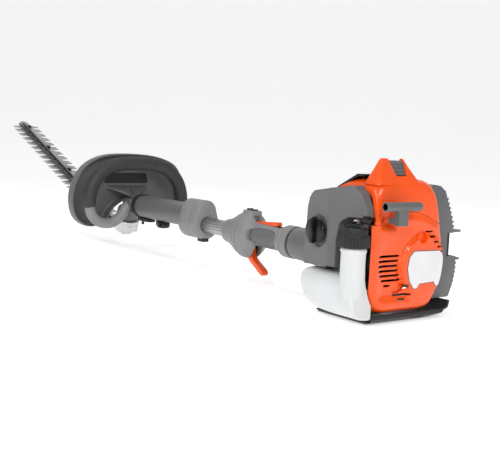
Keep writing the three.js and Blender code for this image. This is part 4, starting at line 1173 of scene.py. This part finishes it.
def make_inner_pieces():
    """Every other CAD node, with its hard edges eased; the parts behind the slots are painted near-black
    as painted shade.
    """
    replaced = {node for piece in REPLACED for node in piece}
    for node_name, node in frame["nodes"].items():
        if node_name in replaced:
            continue
        piece = crisp(from_cad(node_name), 0.3, 2, 36)
        # Painted shade: these parts are painted near-black so the slots look dark.
        look = "painted_shade_cast" if node_name in SHADE_PAINTED_NODES else SLOT_OF[node_name]
        fit(piece, node_name + "_eased", BODY_OF[node_name], look, node_name)


# ---- Stage --------------------------------------------------------------------------------------
CAMERA_AT = (-930.9, 909.4, 261.1)
CAMERA_TURN = math.radians(36.0)
CAMERA_DIP = math.radians(5.9)
CAMERA_ROLL = math.radians(2.5)
CAMERA_LENS = 62.57
WORLD_LIGHT = 0.36
PAPER_GLOW = 0.44


def make_camera():
    turn, dip, roll = CAMERA_TURN, CAMERA_DIP, CAMERA_ROLL
    level = Vector((math.cos(turn), -math.sin(turn), 0))
    upright = Vector((0, 0, 1))
    forward = level * math.cos(dip) - upright * math.sin(dip)
    up = upright * math.cos(dip) + level * math.sin(dip)
    right = Vector((-math.sin(turn), -math.cos(turn), 0))
    right_rolled = right * math.cos(roll) + up * math.sin(roll)
    up_rolled = up * math.cos(roll) - right * math.sin(roll)
    camera = add_object("camera", bpy.data.cameras.new("camera"))
    camera.data.lens = CAMERA_LENS
    camera.data.sensor_width = 36
    axes = Matrix((right_rolled, up_rolled, -forward)).transposed().to_4x4()
    camera.matrix_world = Matrix.Translation(Vector(CAMERA_AT) * MM) @ axes
    scene.camera = camera


def area_light(name, at, target, size, power):
    light = add_object(name, bpy.data.lights.new(name, "AREA"))
    light.data.size = size
    light.data.energy = power
    light.location = at
    direction = Vector(target) - Vector(at)
    light.rotation_euler = direction.to_track_quat("-Z", "Y").to_euler()


def make_floor():
    """Paper that runs flat under the machine and curves up far behind it."""
    half, near, far, rise = 14.0, -6.0, 5.0, 5.0
    profile = [(near, 0.0)]
    for k in range(13):
        angle = math.pi / 2 * k / 12
        profile.append((far + rise * math.sin(angle), rise * (1 - math.cos(angle))))
    profile.append((far + rise, 12.0))
    forward = Vector((math.cos(CAMERA_TURN), -math.sin(CAMERA_TURN), 0))
    side = Vector((math.sin(CAMERA_TURN), math.cos(CAMERA_TURN), 0))
    points = [forward * d + side * w + Vector((0, 0, z)) for d, z in profile for w in (-half, half)]
    faces = [(2 * i, 2 * i + 1, 2 * i + 3, 2 * i + 2) for i in range(len(profile) - 1)]
    mesh = bpy.data.meshes.new("floor")
    mesh.from_pydata(points, [], faces)
    mesh.shade_smooth()
    floor = add_object("floor", mesh)
    material, tree, shader = new_material("floor_paper")
    tree.links.new(ramp(tree, noise(tree, 3), grey(0.93), grey(0.95)),
                   shader.inputs["Base Color"])
    set_inputs(shader, {"Roughness": 0.9, "Specular IOR Level": 0.1,
                        "Emission Color": (1, 1, 1, 1), "Emission Strength": PAPER_GLOW})
    mesh.materials.append(material)


def make_light():
    world = bpy.data.worlds.new("studio")
    scene.world = world
    world.use_nodes = True
    set_inputs(world.node_tree.nodes["Background"], {"Color": (1, 1, 1, 1), "Strength": WORLD_LIGHT})
    area_light("key_light", (-2.2, 0.5, 1.5), (0, 0, 0.1), 0.8, 24)
    area_light("left_light", (-1.3, 1.7, 0.9), (0.2, 0, 0.1), 0.7, 6)
    area_light("head_light", (-0.2, 1.3, 1.0), (0.76, 0, 0.12), 0.5, 7)
    area_light("top_light", (0.5, 0.3, 2.2), (0.5, 0, 0.1), 1.2, 12)
    scene.view_settings.view_transform = "Standard"


# ---- Build --------------------------------------------------------------------------------------
REAR_MAKERS = (make_upper_cover, make_lower_cover, make_badge, make_insert, make_filter_cover,
               make_filter_knob, make_tank, make_cap, make_choke, make_pull_handle,
               make_muffler_guard, make_base, make_roof_plate, make_clutch_housing, make_rings,
               make_drive_tube, make_bell_cover)
FRONT_MAKERS = (make_trigger, make_lockout, make_stop_switch, make_collar, make_collar_arrow,
                make_latch, make_sleeve, make_lug, make_loop, make_loop_clamp, make_hand_guard,
                make_gear_head)
for make in REAR_MAKERS:
    make()
make_handle(1, "left_shell", "handle_left")
make_handle(-1, "right_shell", "handle_right")
for make in FRONT_MAKERS:
    make()
make_blade("top_blade", "upper_blade", "upper_blade", TOOTH_PITCH / 2, -6, -4)
make_blade("bottom_blade", "lower_blade", "lower_blade", 0, -8.4, -6.4)
make_guide_bar()
for number, station in enumerate(BOLT_STATIONS, 1):
    make_bar_bolt(number, station)
make_inner_pieces()
make_camera()
make_floor()
make_light()
